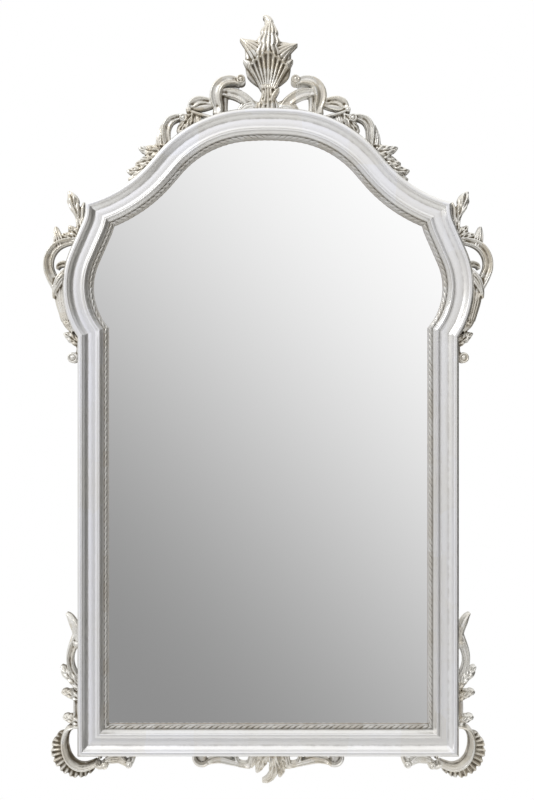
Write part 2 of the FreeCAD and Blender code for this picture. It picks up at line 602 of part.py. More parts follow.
def casting(rows, eyes, span, relief, anchor, trims):
    """Casting made of strokes and eyes, flat at the back and trimmed by the given shapes."""
    solids = []
    for index, row in enumerate(rows):
        solids.append(stroke(row, span, relief, anchor, SKIRT_STEP * (index + 1)))
    for place in eyes:
        solids.append(eye(place, span, relief, anchor))
    whole = solids[0]
    for solid in solids[1:]:
        whole = whole.fuse(solid)
    for trim in trims:
        whole = whole.cut(trim)
    return max(whole.Solids, key=lambda solid: solid.Volume)


def flipped(row):
    return [(-across, up, half, rise) for across, up, half, rise in row]


def shell_ribs():
    """Flutes of the palmette's shell, fanned out from its root."""
    rows = []
    for index in range(RIB_COUNT):
        turn = RIB_FAN * (2 * index / (RIB_COUNT - 1) - 1)
        ray = heading(turn)
        edge = RIB_SIDE_SHARE + (RIB_CENTRE_SHARE - RIB_SIDE_SHARE) * math.cos(math.radians(turn)) ** 2
        inner = (RIB_START_SHARE[0] + ray.x * RIB_INNER_SHARE, RIB_START_SHARE[1] + ray.z * RIB_INNER_SHARE)
        outer = (RIB_START_SHARE[0] + ray.x * edge, RIB_START_SHARE[1] + ray.z * edge)
        rows.append([inner + (RIB_WIDTH_SHARE / 3, RIB_HEIGHT_SHARE), outer + (RIB_WIDTH_SHARE, RIB_HEIGHT_SHARE)])
    return rows


def scallops():
    """Short ribs round the outside of the foot's big scroll."""
    rows = []
    for index in range(SCALLOP_COUNT):
        turn = SCALLOP_FIRST + (SCALLOP_LAST - SCALLOP_FIRST) * index / (SCALLOP_COUNT - 1)
        ray = heading(turn)
        inner = (SCALLOP_CENTRE_SHARE[0] + ray.x * SCALLOP_REACH_SHARE / 2,
                 SCALLOP_CENTRE_SHARE[1] + ray.z * SCALLOP_REACH_SHARE / 2)
        outer = (SCALLOP_CENTRE_SHARE[0] + ray.x * SCALLOP_REACH_SHARE,
                 SCALLOP_CENTRE_SHARE[1] + ray.z * SCALLOP_REACH_SHARE)
        rows.append([inner + (SCALLOP_WIDTH_SHARE, SCALLOP_HEIGHT_SHARE),
                     outer + (SCALLOP_WIDTH_SHARE, SCALLOP_HEIGHT_SHARE)])
    return rows


def frame_trims():
    """What every casting is cut by: the moulding with its glue line, and all behind the back face."""
    moulding = sheet(MOULDING_WIDTH + GLUE_LINE, -OVERRUN / 2, OVERRUN / 2)
    behind = Part.makeBox(OVERRUN * 2, OVERRUN, OVERRUN * 2, FreeCAD.Vector(-OVERRUN, 0, -OVERRUN))
    return [moulding, behind]


def beside_joint(inside):
    """Block that cuts the crest at its joints, the middle away or all but the middle."""
    if inside:
        return [Part.makeBox(CREST_JOINT * 2, OVERRUN, OVERRUN, FreeCAD.Vector(-CREST_JOINT, -OVERRUN / 2, 0))]
    start = CREST_JOINT - GLUE_LINE
    high = SIGHT_TOP + MOULDING_WIDTH + CREST_SPAN * PALMETTE_STROKES_SHARE[0][3][1]
    right = Part.makeBox(OVERRUN, OVERRUN, high, FreeCAD.Vector(start, -OVERRUN / 2, 0))
    return [right, mirrored(right)]


crown_anchor = FreeCAD.Vector(0, 0, SIGHT_TOP + MOULDING_WIDTH)
spray_anchor = shoulder.point(SLOPE_LEAN, MOULDING_WIDTH)
acanthus_anchor = lobe.point(90, MOULDING_WIDTH)
foot_anchor = foot_corner(MOULDING_WIDTH)
apron_anchor = FreeCAD.Vector(0, 0, 0)


def beside_spray(solid, beyond, inside):
    """Part of a casting on one side of the joint between the crest scroll and the shoulder spray."""
    low, high = [crown_anchor + FreeCAD.Vector(across * CREST_SPAN + beyond, 0, up * CREST_SPAN)
                 for across, up in SCROLL_JOINT_SHARE]
    return keep_side(solid, low, high, inside).Solids[0]


def castings():
    """All the castings by node name, the right ones also mirrored."""
    trims = frame_trims()
    palmette = PALMETTE_STROKES_SHARE + shell_ribs()
    for row in (PALMETTE_LEAF_SHARE, PALMETTE_LOBE_SHARE):
        palmette = palmette + [row, flipped(row)]
    apron = APRON_CENTRE_STROKES_SHARE + APRON_SIDE_STROKES_SHARE
    apron = apron + [flipped(row) for row in APRON_SIDE_STROKES_SHARE]
    apron_eyes = APRON_EYES_SHARE + flipped(APRON_EYES_SHARE)
    found = {
        "crest_palmette": casting(palmette, [], CREST_SPAN, CREST_RELIEF, crown_anchor,
                                  trims + beside_joint(False)),
        "apron_casting": casting(apron, apron_eyes, APRON_SPAN, APRON_RELIEF, apron_anchor, trims),
    }
    scroll = casting(CREST_SCROLL_STROKES_SHARE, CREST_SCROLL_EYES_SHARE, CREST_SPAN, CREST_RELIEF, crown_anchor,
                     trims + beside_joint(True))
    spray = casting(SPRAY_STROKES_SHARE, SPRAY_EYES_SHARE, SPRAY_SPAN, SPRAY_RELIEF, spray_anchor, trims)
    sided = {
        "crest_scroll": beside_spray(scroll, 0, crown_anchor),
        "shoulder_spray": beside_spray(spray, GLUE_LINE, spray_anchor),
        "side_acanthus": casting(ACANTHUS_STROKES_SHARE, ACANTHUS_EYES_SHARE, ACANTHUS_SPAN, ACANTHUS_RELIEF,
                                 acanthus_anchor, trims),
        "foot_scroll": casting(FOOT_STROKES_SHARE + scallops(), FOOT_EYES_SHARE, FOOT_SPAN, FOOT_RELIEF,
                               foot_anchor, trims),
    }
    for name, solid in sided.items():
        found[name + "_right"] = solid
        found[name + "_left"] = mirrored(solid)
    return {name: drilled(solid, plate_screws) for name, solid in found.items()}


def rails():
    """The moulding's mitred lengths, drilled for every screw and slotted for the tongues."""
    found = {"bottom_rail": bottom_length(rail_face)}
    sided = {"arch_rail": arch_length(rail_face), "shoulder_rail": shoulder_length(rail_face),
             "stile": stile_length(rail_face)}
    for name, solid in sided.items():
        found[name + "_right"] = solid
        found[name + "_left"] = mirrored(solid)
    return {name: drilled(solid, every_screw + every_tongue) for name, solid in found.items()}


def slips():
    """The carved sight slips that cover the edge of the glass."""
    found = {"bottom_slip": bottom_length(slip_face)}
    sided = {"arch_slip": arch_length(slip_face), "shoulder_slip": shoulder_length(slip_face),
             "stile_slip": stile_length(slip_face)}
    for name, solid in sided.items():
        found[name + "_right"] = solid
        found[name + "_left"] = mirrored(solid)
    return found


def tape_strips():
    """Felt strips between the glass and the slips, on the straight sides and the crown."""
    low = slip_back - TAPE_THICKNESS
    inner = GLASS_COVER - TAPE_WIDTH
    tape_face = section_face([(inner, low), (inner, slip_back)], [[(GLASS_COVER, slip_back)], [(GLASS_COVER, low)]])
    gap = MOULDING_WIDTH
    top = lower_corner(0).z - gap
    side = Run(FreeCAD.Vector(SIGHT_HALF_WIDTH, 0, top), FreeCAD.Vector(SIGHT_HALF_WIDTH, 0, gap * 2), 90)
    half = SIGHT_HALF_WIDTH - gap
    bottom = Run(FreeCAD.Vector(half, 0, gap), FreeCAD.Vector(-half, 0, gap), 180)
    right = [side.solid(tape_face), shoulder.solid(tape_face)]
    return right + [mirrored(solid) for solid in right] + [bottom.solid(tape_face)]


def setting_blocks():
    """Two rubber blocks that carry the glass's bottom edge."""
    low = PANEL_REST + PANEL_THICKNESS
    middle = (SLIP_WIDTH + GLASS_COVER) / 2
    found = []
    for side in (1, -1):
        across = SIGHT_HALF_WIDTH * SETTING_BLOCK_SHARE * side
        centre = FreeCAD.Vector(across, 0, MOULDING_WIDTH - middle)
        found.append(slab(centre, heading(90), SETTING_BLOCK_LENGTH, SLIP_WIDTH - GLASS_COVER, low,
                          low + GLASS_THICKNESS))
    return found


def turn_button(centre, outward):
    """Rounded steel button about its screw, its long end over the back panel."""
    low = -BUTTON_GAP - BUTTON_THICKNESS
    reach = BUTTON_LENGTH - BUTTON_WIDTH
    tip = centre - outward * reach
    middle = centre - outward * (reach / 2)
    body = slab(middle, outward, reach, BUTTON_WIDTH, low, -BUTTON_GAP)
    body = body.fuse([post(centre, BUTTON_WIDTH / 2, low, -BUTTON_GAP), post(tip, BUTTON_WIDTH / 2, low, -BUTTON_GAP)])
    bore = post(centre, SCREW_RADIUS + BUTTON_BORE_CLEARANCE, low - BUTTON_GAP, 0)
    return body.removeSplitter().cut(bore).Solids[0]


def mending_plates():
    """Steel plates over the joint between each casting and the moulding."""
    holes = [post(point, PLATE_HOLE_RADIUS, -PLATE_THICKNESS, 0) for point in plate_screw_points()]
    found = []
    for centre, outward in plate_places:
        found.append(drilled(slab(centre, outward, PLATE_LENGTH, PLATE_WIDTH, -PLATE_THICKNESS, 0), holes))
    return found


def hanger_strap(centre):
    """Steel strap folded round the ring's bar."""
    foot = centre - heading(0) * (STRAP_LENGTH / 2)
    plate = slab(foot, heading(0), STRAP_LENGTH, STRAP_WIDTH, -STRAP_THICKNESS, 0)
    start = centre + lying(-ring_lift) - heading(90) * (STRAP_WIDTH / 2)
    loop = Part.makeCylinder(ring_lift, STRAP_WIDTH, start, heading(90))
    bore = Part.makeCylinder(RING_WIRE_RADIUS + RING_BORE_CLEARANCE, STRAP_WIDTH, start, heading(90))
    return drilled(plate.fuse(loop).cut(bore), strap_screws)


def hanger_ring(centre):
    """D ring of round wire, its straight bar in the strap and its bow standing up."""
    pivot = centre + lying(-ring_lift)
    ends = [pivot - heading(90) * RING_RADIUS, pivot + heading(90) * RING_RADIUS]
    bar = Part.makeCylinder(RING_WIRE_RADIUS, RING_RADIUS * 2, ends[0], heading(90))
    section = Part.Face(Part.Wire(Part.Circle(ends[0], heading(0), RING_WIRE_RADIUS).toShape()))
    bow = section.revolve(pivot, FreeCAD.Vector(0, 1, 0), 180)
    corners = [Part.makeSphere(RING_WIRE_RADIUS, end) for end in ends]
    return bar.fuse([bow] + corners).Solids[0]


def bumpers():
    """Rubber pads that rest on the wall."""
    return [post(centre, BUMPER_RADIUS, -BUMPER_THICKNESS, 0) for centre, outward in bumper_places]


def assembly():
    """Every piece by node name, drawn from the moulding's back face and bottom edge."""
    panel_top = PANEL_REST + PANEL_THICKNESS
    pieces = {
        "mirror_glass": sheet(GLASS_COVER, panel_top, panel_top + GLASS_THICKNESS),
        "back_panel": sheet(GLASS_COVER, PANEL_REST, panel_top),
        "glazing_tape": Part.Compound(tape_strips()),
        "setting_blocks": Part.Compound(setting_blocks()),
        "mitre_tongues": Part.Compound(every_tongue),
        "mending_plates": Part.Compound(mending_plates()),
        "plate_screws": Part.Compound(plate_screws),
        "hanger_screws": Part.Compound(strap_screws),
        "button_screws": Part.Compound(button_screws),
        "wall_bumpers": Part.Compound(bumpers()),
    }
    for side, (centre, outward) in zip(("right", "left"), hanger_places):
        pieces["hanger_strap_" + side] = hanger_strap(centre)
        pieces["hanger_ring_" + side] = hanger_ring(centre)
    for number, (centre, outward) in enumerate(button_places, start=1):
        pieces["turn_button_" + str(number)] = turn_button(centre, outward)
    pieces.update(rails())
    pieces.update(slips())
    pieces.update(castings())
    return pieces


pieces = assembly()
box = Part.Compound(list(pieces.values())).optimalBoundingBox()
origin = FreeCAD.Vector(0, -(box.YMin + box.YMax) / 2, -box.ZMin)
os.makedirs("parts", exist_ok=True)
for name, shape in pieces.items():
    shape.translated(origin).exportStep("parts/" + name + ".step")
print("origin moved by", origin, "size", box.XLength, box.YLength, box.ZLength)
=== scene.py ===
"""Arched wall mirror in a silvered moulding with pierced, carved castings round its edge.

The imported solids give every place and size. This script dresses them: the mitred moulding and its
rope slip are swept along the sight line, each casting is carved from strokes that melt into one
another, and the fixings behind keep their solids and get their finishes.
"""

from __future__ import annotations

import cmath
import logging
import math
from dataclasses import dataclass, replace
from enum import Enum
from typing import Callable, ClassVar

import bpy
import numpy as np
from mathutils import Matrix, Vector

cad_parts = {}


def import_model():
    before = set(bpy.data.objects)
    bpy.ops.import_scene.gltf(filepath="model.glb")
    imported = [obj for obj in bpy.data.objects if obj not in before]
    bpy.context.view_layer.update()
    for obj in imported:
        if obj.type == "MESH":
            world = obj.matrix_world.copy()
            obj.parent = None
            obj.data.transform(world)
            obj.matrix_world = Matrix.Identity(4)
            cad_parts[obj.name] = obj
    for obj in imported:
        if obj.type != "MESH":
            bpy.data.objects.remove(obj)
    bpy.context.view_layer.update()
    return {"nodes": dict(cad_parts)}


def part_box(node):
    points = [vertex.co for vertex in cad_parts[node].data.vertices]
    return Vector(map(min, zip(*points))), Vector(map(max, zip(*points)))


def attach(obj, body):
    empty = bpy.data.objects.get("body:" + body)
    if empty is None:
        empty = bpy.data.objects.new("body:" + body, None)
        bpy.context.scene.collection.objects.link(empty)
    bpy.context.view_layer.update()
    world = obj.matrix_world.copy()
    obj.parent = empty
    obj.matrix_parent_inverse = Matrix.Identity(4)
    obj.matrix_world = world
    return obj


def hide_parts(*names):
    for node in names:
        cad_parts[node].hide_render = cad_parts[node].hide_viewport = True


LOG = logging.getLogger("wall_mirror")
HOLLOW = "hollow"
BARE = "bare"
WHITE = (1.0, 1.0, 1.0)
Pair = tuple[float, float]
Triple = tuple[float, float, float]
Solid = tuple[np.ndarray, list[list[int]]]
Socket = bpy.types.NodeSocket


def heading(lean: np.ndarray | float) -> np.ndarray:
    """Directions (across, up) that lean by angles in radians from straight up."""
    return np.stack([np.sin(lean), np.cos(lean)], axis=-1)


def quarter(directions: np.ndarray) -> np.ndarray:
    """Directions (across, up) turned a quarter clockwise."""
    return directions[..., ::-1] * np.array([1.0, -1.0])


def smooth_line(points: np.ndarray, count: int) -> np.ndarray:
    """Carry a smooth curve through a row of points.

    Cubic Hermite pieces over the chord lengths, whose slopes are the mean of the chords' slopes.

    Args:
        points: Rows to pass through; the first two columns are a place, the rest ride along.
        count: How many rows to return.

    Returns:
        The rows of the curve, evenly spaced in chord length.
    """
    step = np.maximum(np.linalg.norm(np.diff(points[:, :2], axis=0), axis=1), 1e-6)
    at = np.concatenate([[0.0], np.cumsum(step)])
    chord = np.diff(points, axis=0) / step[:, None]
    inner = (chord[:-1] * step[1:, None] + chord[1:] * step[:-1, None]) / (step[1:] + step[:-1])[:, None]
    slope = np.concatenate([chord[:1], inner, chord[-1:]])
    where = np.linspace(0.0, at[-1], count)
    cell = np.clip(np.searchsorted(at, where, side="right") - 1, 0, len(step) - 1)
    share = ((where - at[cell]) / step[cell])[:, None]
    length = step[cell][:, None]
    square = share * share
    cube = square * share
    return ((2 * cube - 3 * square + 1) * points[cell] + (cube - 2 * square + share) * length * slope[cell]
            + (3 * square - 2 * cube) * points[cell + 1] + (cube - square) * length * slope[cell + 1])


def arc_through(start: Pair, middle: Pair, end: Pair, count: int) -> np.ndarray:
    """Points of the circular arc through three points, without its first point.

    Args:
        start: Where the arc begins.
        middle: A point on it.
        end: Where it ends.
        count: How many points to return.

    Returns:
        Array of points, the last one at the end.
    """
    a, b, c = (complex(*point) for point in (start, middle, end))
    ratio = (c - a) / (b - a)
    centre = a - (a - b) * (ratio - abs(ratio) ** 2) / (2j * ratio.imag)
    first, via, last = (cmath.phase(point - centre) for point in (a, b, c))
    via, last = (via - first) % math.tau, (last - first) % math.tau
    if via > last:
        last -= math.tau
    spot = centre + abs(a - centre) * np.exp(1j * (first + last * np.arange(1, count + 1) / count))
    return np.stack([spot.real, spot.imag], axis=1)


def add_object(name: str, data: bpy.types.ID) -> bpy.types.Object:
    """New object with its data, linked to the scene."""
    thing = bpy.data.objects.new(name, data)
    bpy.context.scene.collection.objects.link(thing)
    return thing


class MeshMaker:
    """Turns numpy grids into Blender meshes with their faces outwards."""

    @staticmethod
    def tube(grid: np.ndarray) -> Solid:
        """Close a grid of rings into a solid with a cap at each end.

        Args:
            grid: Places, as rings by points by three.

        Returns:
            The points, and the faces with their caps, all facing outwards.
        """
        rows, columns = grid.shape[:2]
        start, near = np.meshgrid(np.arange(rows - 1) * columns, np.arange(columns), indexing="ij")
        far = (near + 1) % columns
        faces = np.stack([start + near, start + far, start + columns + far, start + columns + near], axis=-1)
        faces = faces.reshape(-1, 4)
        points = grid.reshape(-1, 3)
        first, second, third, fourth = (points[faces[:, k]] - points.mean(axis=0) for k in range(4))
        volume = (first * (np.cross(second, third) + np.cross(third, fourth))).sum()
        caps = [list(range(columns))[::-1], list(range((rows - 1) * columns, rows * columns))]
        if volume < 0:
            faces = faces[:, ::-1]
            caps = [cap[::-1] for cap in caps]
        return points, faces.tolist() + caps

    @staticmethod
    def join(parts: list[Solid]) -> Solid:
        """Put several solids into one list of points and one of faces."""
        starts = np.cumsum([0] + [len(points) for points, _ in parts]).tolist()
        faces = [[corner + start for corner in face] for (_, sides), start in zip(parts, starts) for face in sides]
        return np.concatenate([points for points, _ in parts]), faces

    @staticmethod
    def build(name: str, points: np.ndarray, faces: list[list[int]], smooth: bool = True) -> bpy.types.Object:
        """Make an object from points and faces and link it to the scene."""
        mesh = bpy.data.meshes.new(name)
        mesh.from_pydata(points.tolist(), [], faces)
        mesh.polygons.foreach_set("use_smooth", np.full(len(mesh.polygons), smooth))
        mesh.update()
        return add_object(name, mesh)

    @staticmethod
    def write(thing: bpy.types.Object, name: str, values: np.ndarray) -> None:
        """Store one number for each point of a mesh as a named attribute."""
        layer = thing.data.attributes.new(name, "FLOAT", "POINT")
        layer.data.foreach_set("value", values.astype(np.float32).reshape(-1))

    @staticmethod
    def read(items: bpy.types.bpy_prop_collection, key: str, width: int, kind: type = np.float32) -> np.ndarray:
        """Rows of one property of a mesh's points, edges or normals."""
        rows = np.empty(len(items) * width, kind)
        items.foreach_get(key, rows)
        return rows.reshape(-1, width)


@dataclass(frozen=True)
class Bench:
    """Where the drawing plane lies in the frame: its back face and its bottom edge."""

    back: float
    foot: float

    def lay(self, across: np.ndarray, up: np.ndarray, height: np.ndarray) -> np.ndarray:
        """Places in the frame of drawing points at a height in front of the back face."""
        return np.stack(np.broadcast_arrays(across, self.back - height, self.foot + up), axis=-1)


@dataclass(frozen=True)
class Track:
    """A stretch of the sight line as a fine table of places and outward leans."""

    places: np.ndarray
    leans: np.ndarray

    @property
    def run(self) -> np.ndarray:
        """Distance along the track of each row of the table."""
        steps = np.linalg.norm(np.diff(self.places, axis=0), axis=1)
        return np.concatenate([[0.0], np.cumsum(steps)])

    def at(self, along: np.ndarray, outward: np.ndarray) -> np.ndarray:
        """Places at distances along the track and outside it."""
        table = self.run
        lean = np.interp(along, table, self.leans)
        base = np.stack([np.interp(along, table, self.places[:, k]) for k in (0, 1)], axis=-1)
        return base + heading(lean) * np.asarray(outward)[..., None]

    def crossing(self, outward: np.ndarray, inner: np.ndarray, outer: np.ndarray, late: bool) -> np.ndarray:
        """Where each offset of the track crosses the line through two points.

        Args:
            outward: Distances outside the track.
            inner: A point of the line.
            outer: Another point of the line.
            late: Whether to take the last crossing and not the first.

        Returns:
            The distance along the track for each offset.
        """
        table = self.run
        spots = self.at(table[:, None], np.asarray(outward)[None, :])
        signed = (spots - inner) @ quarter(outer - inner)
        change = np.signbit(signed[:-1]) != np.signbit(signed[1:])
        rows = len(change) - 1 - np.argmax(change[::-1], axis=0) if late else np.argmax(change, axis=0)
        columns = np.arange(len(outward))
        near, far = signed[rows, columns], signed[rows + 1, columns]
        return table[rows] + (table[rows + 1] - table[rows]) * near / (near - far)


@dataclass(frozen=True)
class SightLine:
    """The edge of the glass that shows, right half, in metres from the moulding's bottom edge."""

    half_width: float = 0.36
    top: float = 1.38375
    width: float = 0.066
    crown_radius: float = 0.619
    crown_sweep: float = math.radians(4.6)
    shoulder_radius: float = 0.216
    slope_lean: float = math.radians(49.5)
    slope_length: float = 0.029
    hollow_radius: float = 0.3465
    hollow_end: float = math.radians(10.0)
    neck_radius: float = 0.148
    neck_start: float = math.radians(112.0)
    neck_lean: float = math.radians(66.4)
    neck_length: float = 0.0677
    lobe_radius: float = 0.137
    lobe_centre: Pair = (0.257, 1.0499)
    lobe_end: float = math.radians(136.0)
    step: float = 0.0015

    @property
    def crown_centre(self) -> np.ndarray:
        """Centre of the crown's arc."""
        return np.array([0.0, self.top - self.crown_radius])

    @property
    def shoulder_centre(self) -> np.ndarray:
        """Centre of the shoulder's arc, on the line that both arcs share where they meet."""
        return self.crown_centre + heading(self.crown_sweep) * (self.crown_radius - self.shoulder_radius)

    @property
    def slope_start(self) -> np.ndarray:
        """Where the shoulder's arc ends and the straight slope begins."""
        return self.shoulder_centre + heading(self.slope_lean) * self.shoulder_radius

    @property
    def hollow_centre(self) -> np.ndarray:
        """Centre of the hollow arc, outside the mirror."""
        lean = heading(self.slope_lean)
        return self.slope_start + quarter(lean) * self.slope_length + lean * self.hollow_radius

    @property
    def neck_foot(self) -> np.ndarray:
        """Where the neck's straight meets the lobe."""
        return np.array(self.lobe_centre) + heading(self.neck_lean) * self.lobe_radius

    @property
    def neck_head(self) -> np.ndarray:
        """Where the neck's hollow arc meets its straight."""
        return self.neck_foot - quarter(heading(self.neck_lean)) * self.neck_length

    @property
    def neck_centre(self) -> np.ndarray:
        """Centre of the neck's hollow arc."""
        return self.neck_head + heading(self.neck_lean) * self.neck_radius

    def upper_corner(self, outward: float) -> np.ndarray:
        """Crossing of the hollow arc and the neck's arc, each drawn in by the offset."""
        first, second = self.hollow_radius - outward, self.neck_radius - outward
        between = self.neck_centre - self.hollow_centre
        gap = float(np.linalg.norm(between))
        along = (first ** 2 - second ** 2 + gap ** 2) / (2 * gap)
        aside = math.sqrt(first ** 2 - along ** 2)
        unit = between / gap
        found = [self.hollow_centre + unit * along + quarter(unit) * aside * sign for sign in (1, -1)]
        return min(found, key=lambda spot: spot[0])

    def lower_corner(self, outward: float) -> np.ndarray:
        """Crossing of the lobe and the stile."""
        across = self.half_width + outward
        drop = math.sqrt((self.lobe_radius + outward) ** 2 - (across - self.lobe_centre[0]) ** 2)
        return np.array([across, self.lobe_centre[1] - drop])

    def foot_corner(self, outward: float) -> np.ndarray:
        """Crossing of the stile and the bottom rail."""
        return np.array([self.half_width + outward, self.width - outward])

    def _bend(self, centre: np.ndarray, radius: float, start: float, end: float,
              hollow: bool) -> tuple[np.ndarray, np.ndarray]:
        """Table of an arc: places on it and their outward leans."""
        lean = np.linspace(start, end, max(int(abs(end - start) * radius / self.step), 8))
        return centre + heading(lean) * (-radius if hollow else radius), lean

    def _straight(self, start: Pair, end: Pair, lean: float) -> tuple[np.ndarray, np.ndarray]:
        """Table of a straight run, both ends included."""
        start, end = np.array(start), np.array(end)
        share = np.linspace(0.0, 1.0, max(int(np.linalg.norm(end - start) / self.step), 2))[:, None]
        return start + (end - start) * share, np.full(len(share), lean)

    @staticmethod
    def _chain(parts: list[tuple[np.ndarray, np.ndarray]]) -> Track:
        """Join tables end to end, each without the point that it shares with the last."""
        rest = [(places[1:], leans[1:]) for places, leans in parts[1:]]
        return Track(*(np.concatenate(column) for column in zip(parts[0], *rest)))

    def arch(self) -> Track:
        """Crown, shoulder, slope and hollow, from the middle outwards and past the corner."""
        slope_end = self.hollow_centre - heading(self.slope_lean) * self.hollow_radius
        return self._chain([
            self._bend(self.crown_centre, self.crown_radius, 0.0, self.crown_sweep, False),
            self._bend(self.shoulder_centre, self.shoulder_radius, self.crown_sweep, self.slope_lean, False),
            self._straight(self.slope_start, slope_end, self.slope_lean),
            self._bend(self.hollow_centre, self.hollow_radius, self.slope_lean, self.hollow_end, True)])

    def shoulder(self) -> Track:
        """Neck and lobe, past the corner at each end."""
        return self._chain([
            self._bend(self.neck_centre, self.neck_radius, self.neck_start, self.neck_lean, True),
            self._straight(self.neck_head, self.neck_foot, self.neck_lean),
            self._bend(np.array(self.lobe_centre), self.lobe_radius, self.neck_lean, self.lobe_end, False)])

    def stile(self) -> Track:
        """Upright from above the lower corner to below the foot."""
        top = self.lower_corner(0.0)[1] + self.width
        return self._chain([self._straight((self.half_width, top), (self.half_width, -self.width), math.pi / 2)])

    def bottom(self) -> Track:
        """Bottom edge from beyond the right foot to beyond the left one."""
        reach = self.half_width + self.width * 2
        return self._chain([self._straight((reach, self.width), (-reach, self.width), math.pi)])

    def crown_anchor(self) -> np.ndarray:
        """Outer edge of the moulding at the top of the arch."""
        return np.array([0.0, self.top + self.width])

    def spray_anchor(self) -> np.ndarray:
        """Outer edge of the moulding where the shoulder ends."""
        return self.shoulder_centre + heading(self.slope_lean) * (self.shoulder_radius + self.width)

    def lobe_anchor(self) -> np.ndarray:
        """Outer edge of the moulding at the lobe's widest point."""
        return np.array(self.lobe_centre) + np.array([self.lobe_radius + self.width, 0.0])

    def depth_inside(self, spots: np.ndarray) -> np.ndarray:
        """How far inside the moulding's outer edge each place lies; below zero outside it.

        Above the stile it is the moulding's width less the distance to the sight line. Beside the
        stile and under the bottom rail it is the distance to the nearer of their two outer edges.
        """
        arch, shoulder = self.arch(), self.shoulder()
        upper, lower = ((corner(0.0), corner(self.width)) for corner in (self.upper_corner, self.lower_corner))
        edge = np.zeros(1)
        first = arch.places[arch.run < arch.crossing(edge, *upper, late=True)]
        start, end = shoulder.crossing(edge, *upper, late=False), shoulder.crossing(edge, *lower, late=True)
        second = shoulder.places[(shoulder.run > start) & (shoulder.run < end)]
        table = np.concatenate([first, second])[::2]
        across, up = np.abs(spots[..., 0]), spots[..., 1]
        gap = np.hypot(across[..., None] - table[:, 0], up[..., None] - table[:, 1]).min(axis=-1)
        stile = np.minimum(self.half_width + self.width - across, up)
        return np.maximum(self.width - gap, np.where(up < self.lower_corner(self.width)[1], stile, -self.width))


class Nodes:
    """Short hand for building one shader or group tree."""

    def __init__(self, tree: bpy.types.NodeTree) -> None:
        """Take an empty tree."""
        self.tree = tree

    @classmethod
    def fresh(cls, owner: bpy.types.Material | bpy.types.World) -> Nodes:
        """Emptied tree of a new material or world."""
        owner.use_nodes = True
        owner.node_tree.nodes.clear()
        return cls(owner.node_tree)

    def feed(self, node: bpy.types.Node, inputs: dict[str | int, object]) -> None:
        """Set or link a node's inputs by name or number; a colour may come without its alpha."""
        for key, value in inputs.items():
            socket = node.inputs[key]
            if isinstance(value, Socket):
                self.tree.links.new(value, socket)
            elif socket.type == "RGBA" and len(value) == 3:
                socket.default_value = (*value, 1.0)
            else:
                socket.default_value = value

    def add(self, kind: str, settings: dict[str, object] | None = None,
            inputs: dict[str | int, object] | None = None) -> bpy.types.Node:
        """Add a node, set its properties, and feed its inputs.

        Args:
            kind: Blender's node type.
            settings: Properties of the node.
            inputs: A value or an output socket for each input, by name or number.

        Returns:
            The new node.
        """
        node = self.tree.nodes.new(kind)
        for key, value in (settings or {}).items():
            setattr(node, key, value)
        self.feed(node, inputs or {})
        return node

    def math(self, kind: str, first: object, second: object = 0.0, third: object = 0.0, clamp: bool = False) -> Socket:
        """Result of a Math node."""
        node = self.add("ShaderNodeMath", {"operation": kind, "use_clamp": clamp}, {0: first, 1: second, 2: third})
        return node.outputs[0]

    def ramp(self, value: object, low: float, high: float, start: float = 0.0, end: float = 1.0) -> Socket:
        """Value carried smoothly from one range to another and held at its ends."""
        node = self.add("ShaderNodeMapRange", {"interpolation_type": "SMOOTHSTEP"},
                        {"Value": value, "From Min": low, "From Max": high, "To Min": start, "To Max": end})
        return node.outputs["Result"]

    def noise(self, vector: object, scale: float, detail: float = 3.0, rough: float = 0.55,
              output: str | int = 0) -> Socket:
        """Value or colour of a noise texture on a vector."""
        node = self.add("ShaderNodeTexNoise", {}, {"Vector": vector, "Scale": scale, "Detail": detail,
                                                   "Roughness": rough})
        return node.outputs[output]

    def blend(self, mask: object, first: object, second: object) -> Socket:
        """Colour between two, by a mask."""
        return self.add("ShaderNodeMix", {"data_type": "RGBA"}, {0: mask, 6: first, 7: second}).outputs[2]

    def bump(self, height: object, strength: float, distance: float) -> Socket:
        """Normal bent by a height."""
        node = self.add("ShaderNodeBump", {}, {"Strength": strength, "Distance": distance, "Height": height})
        return node.outputs[0]

    def attribute(self, name: str) -> Socket:
        """Value of a mesh's own attribute."""
        return self.add("ShaderNodeAttribute", {"attribute_name": name}).outputs["Fac"]

    def place(self) -> Socket:
        """Object coordinates."""
        return self.add("ShaderNodeTexCoord").outputs["Object"]

    def stretched(self, scale: Triple) -> Socket:
        """Object coordinates with a factor for each axis."""
        return self.add("ShaderNodeMapping", {}, {"Vector": self.place(), "Scale": scale}).outputs[0]


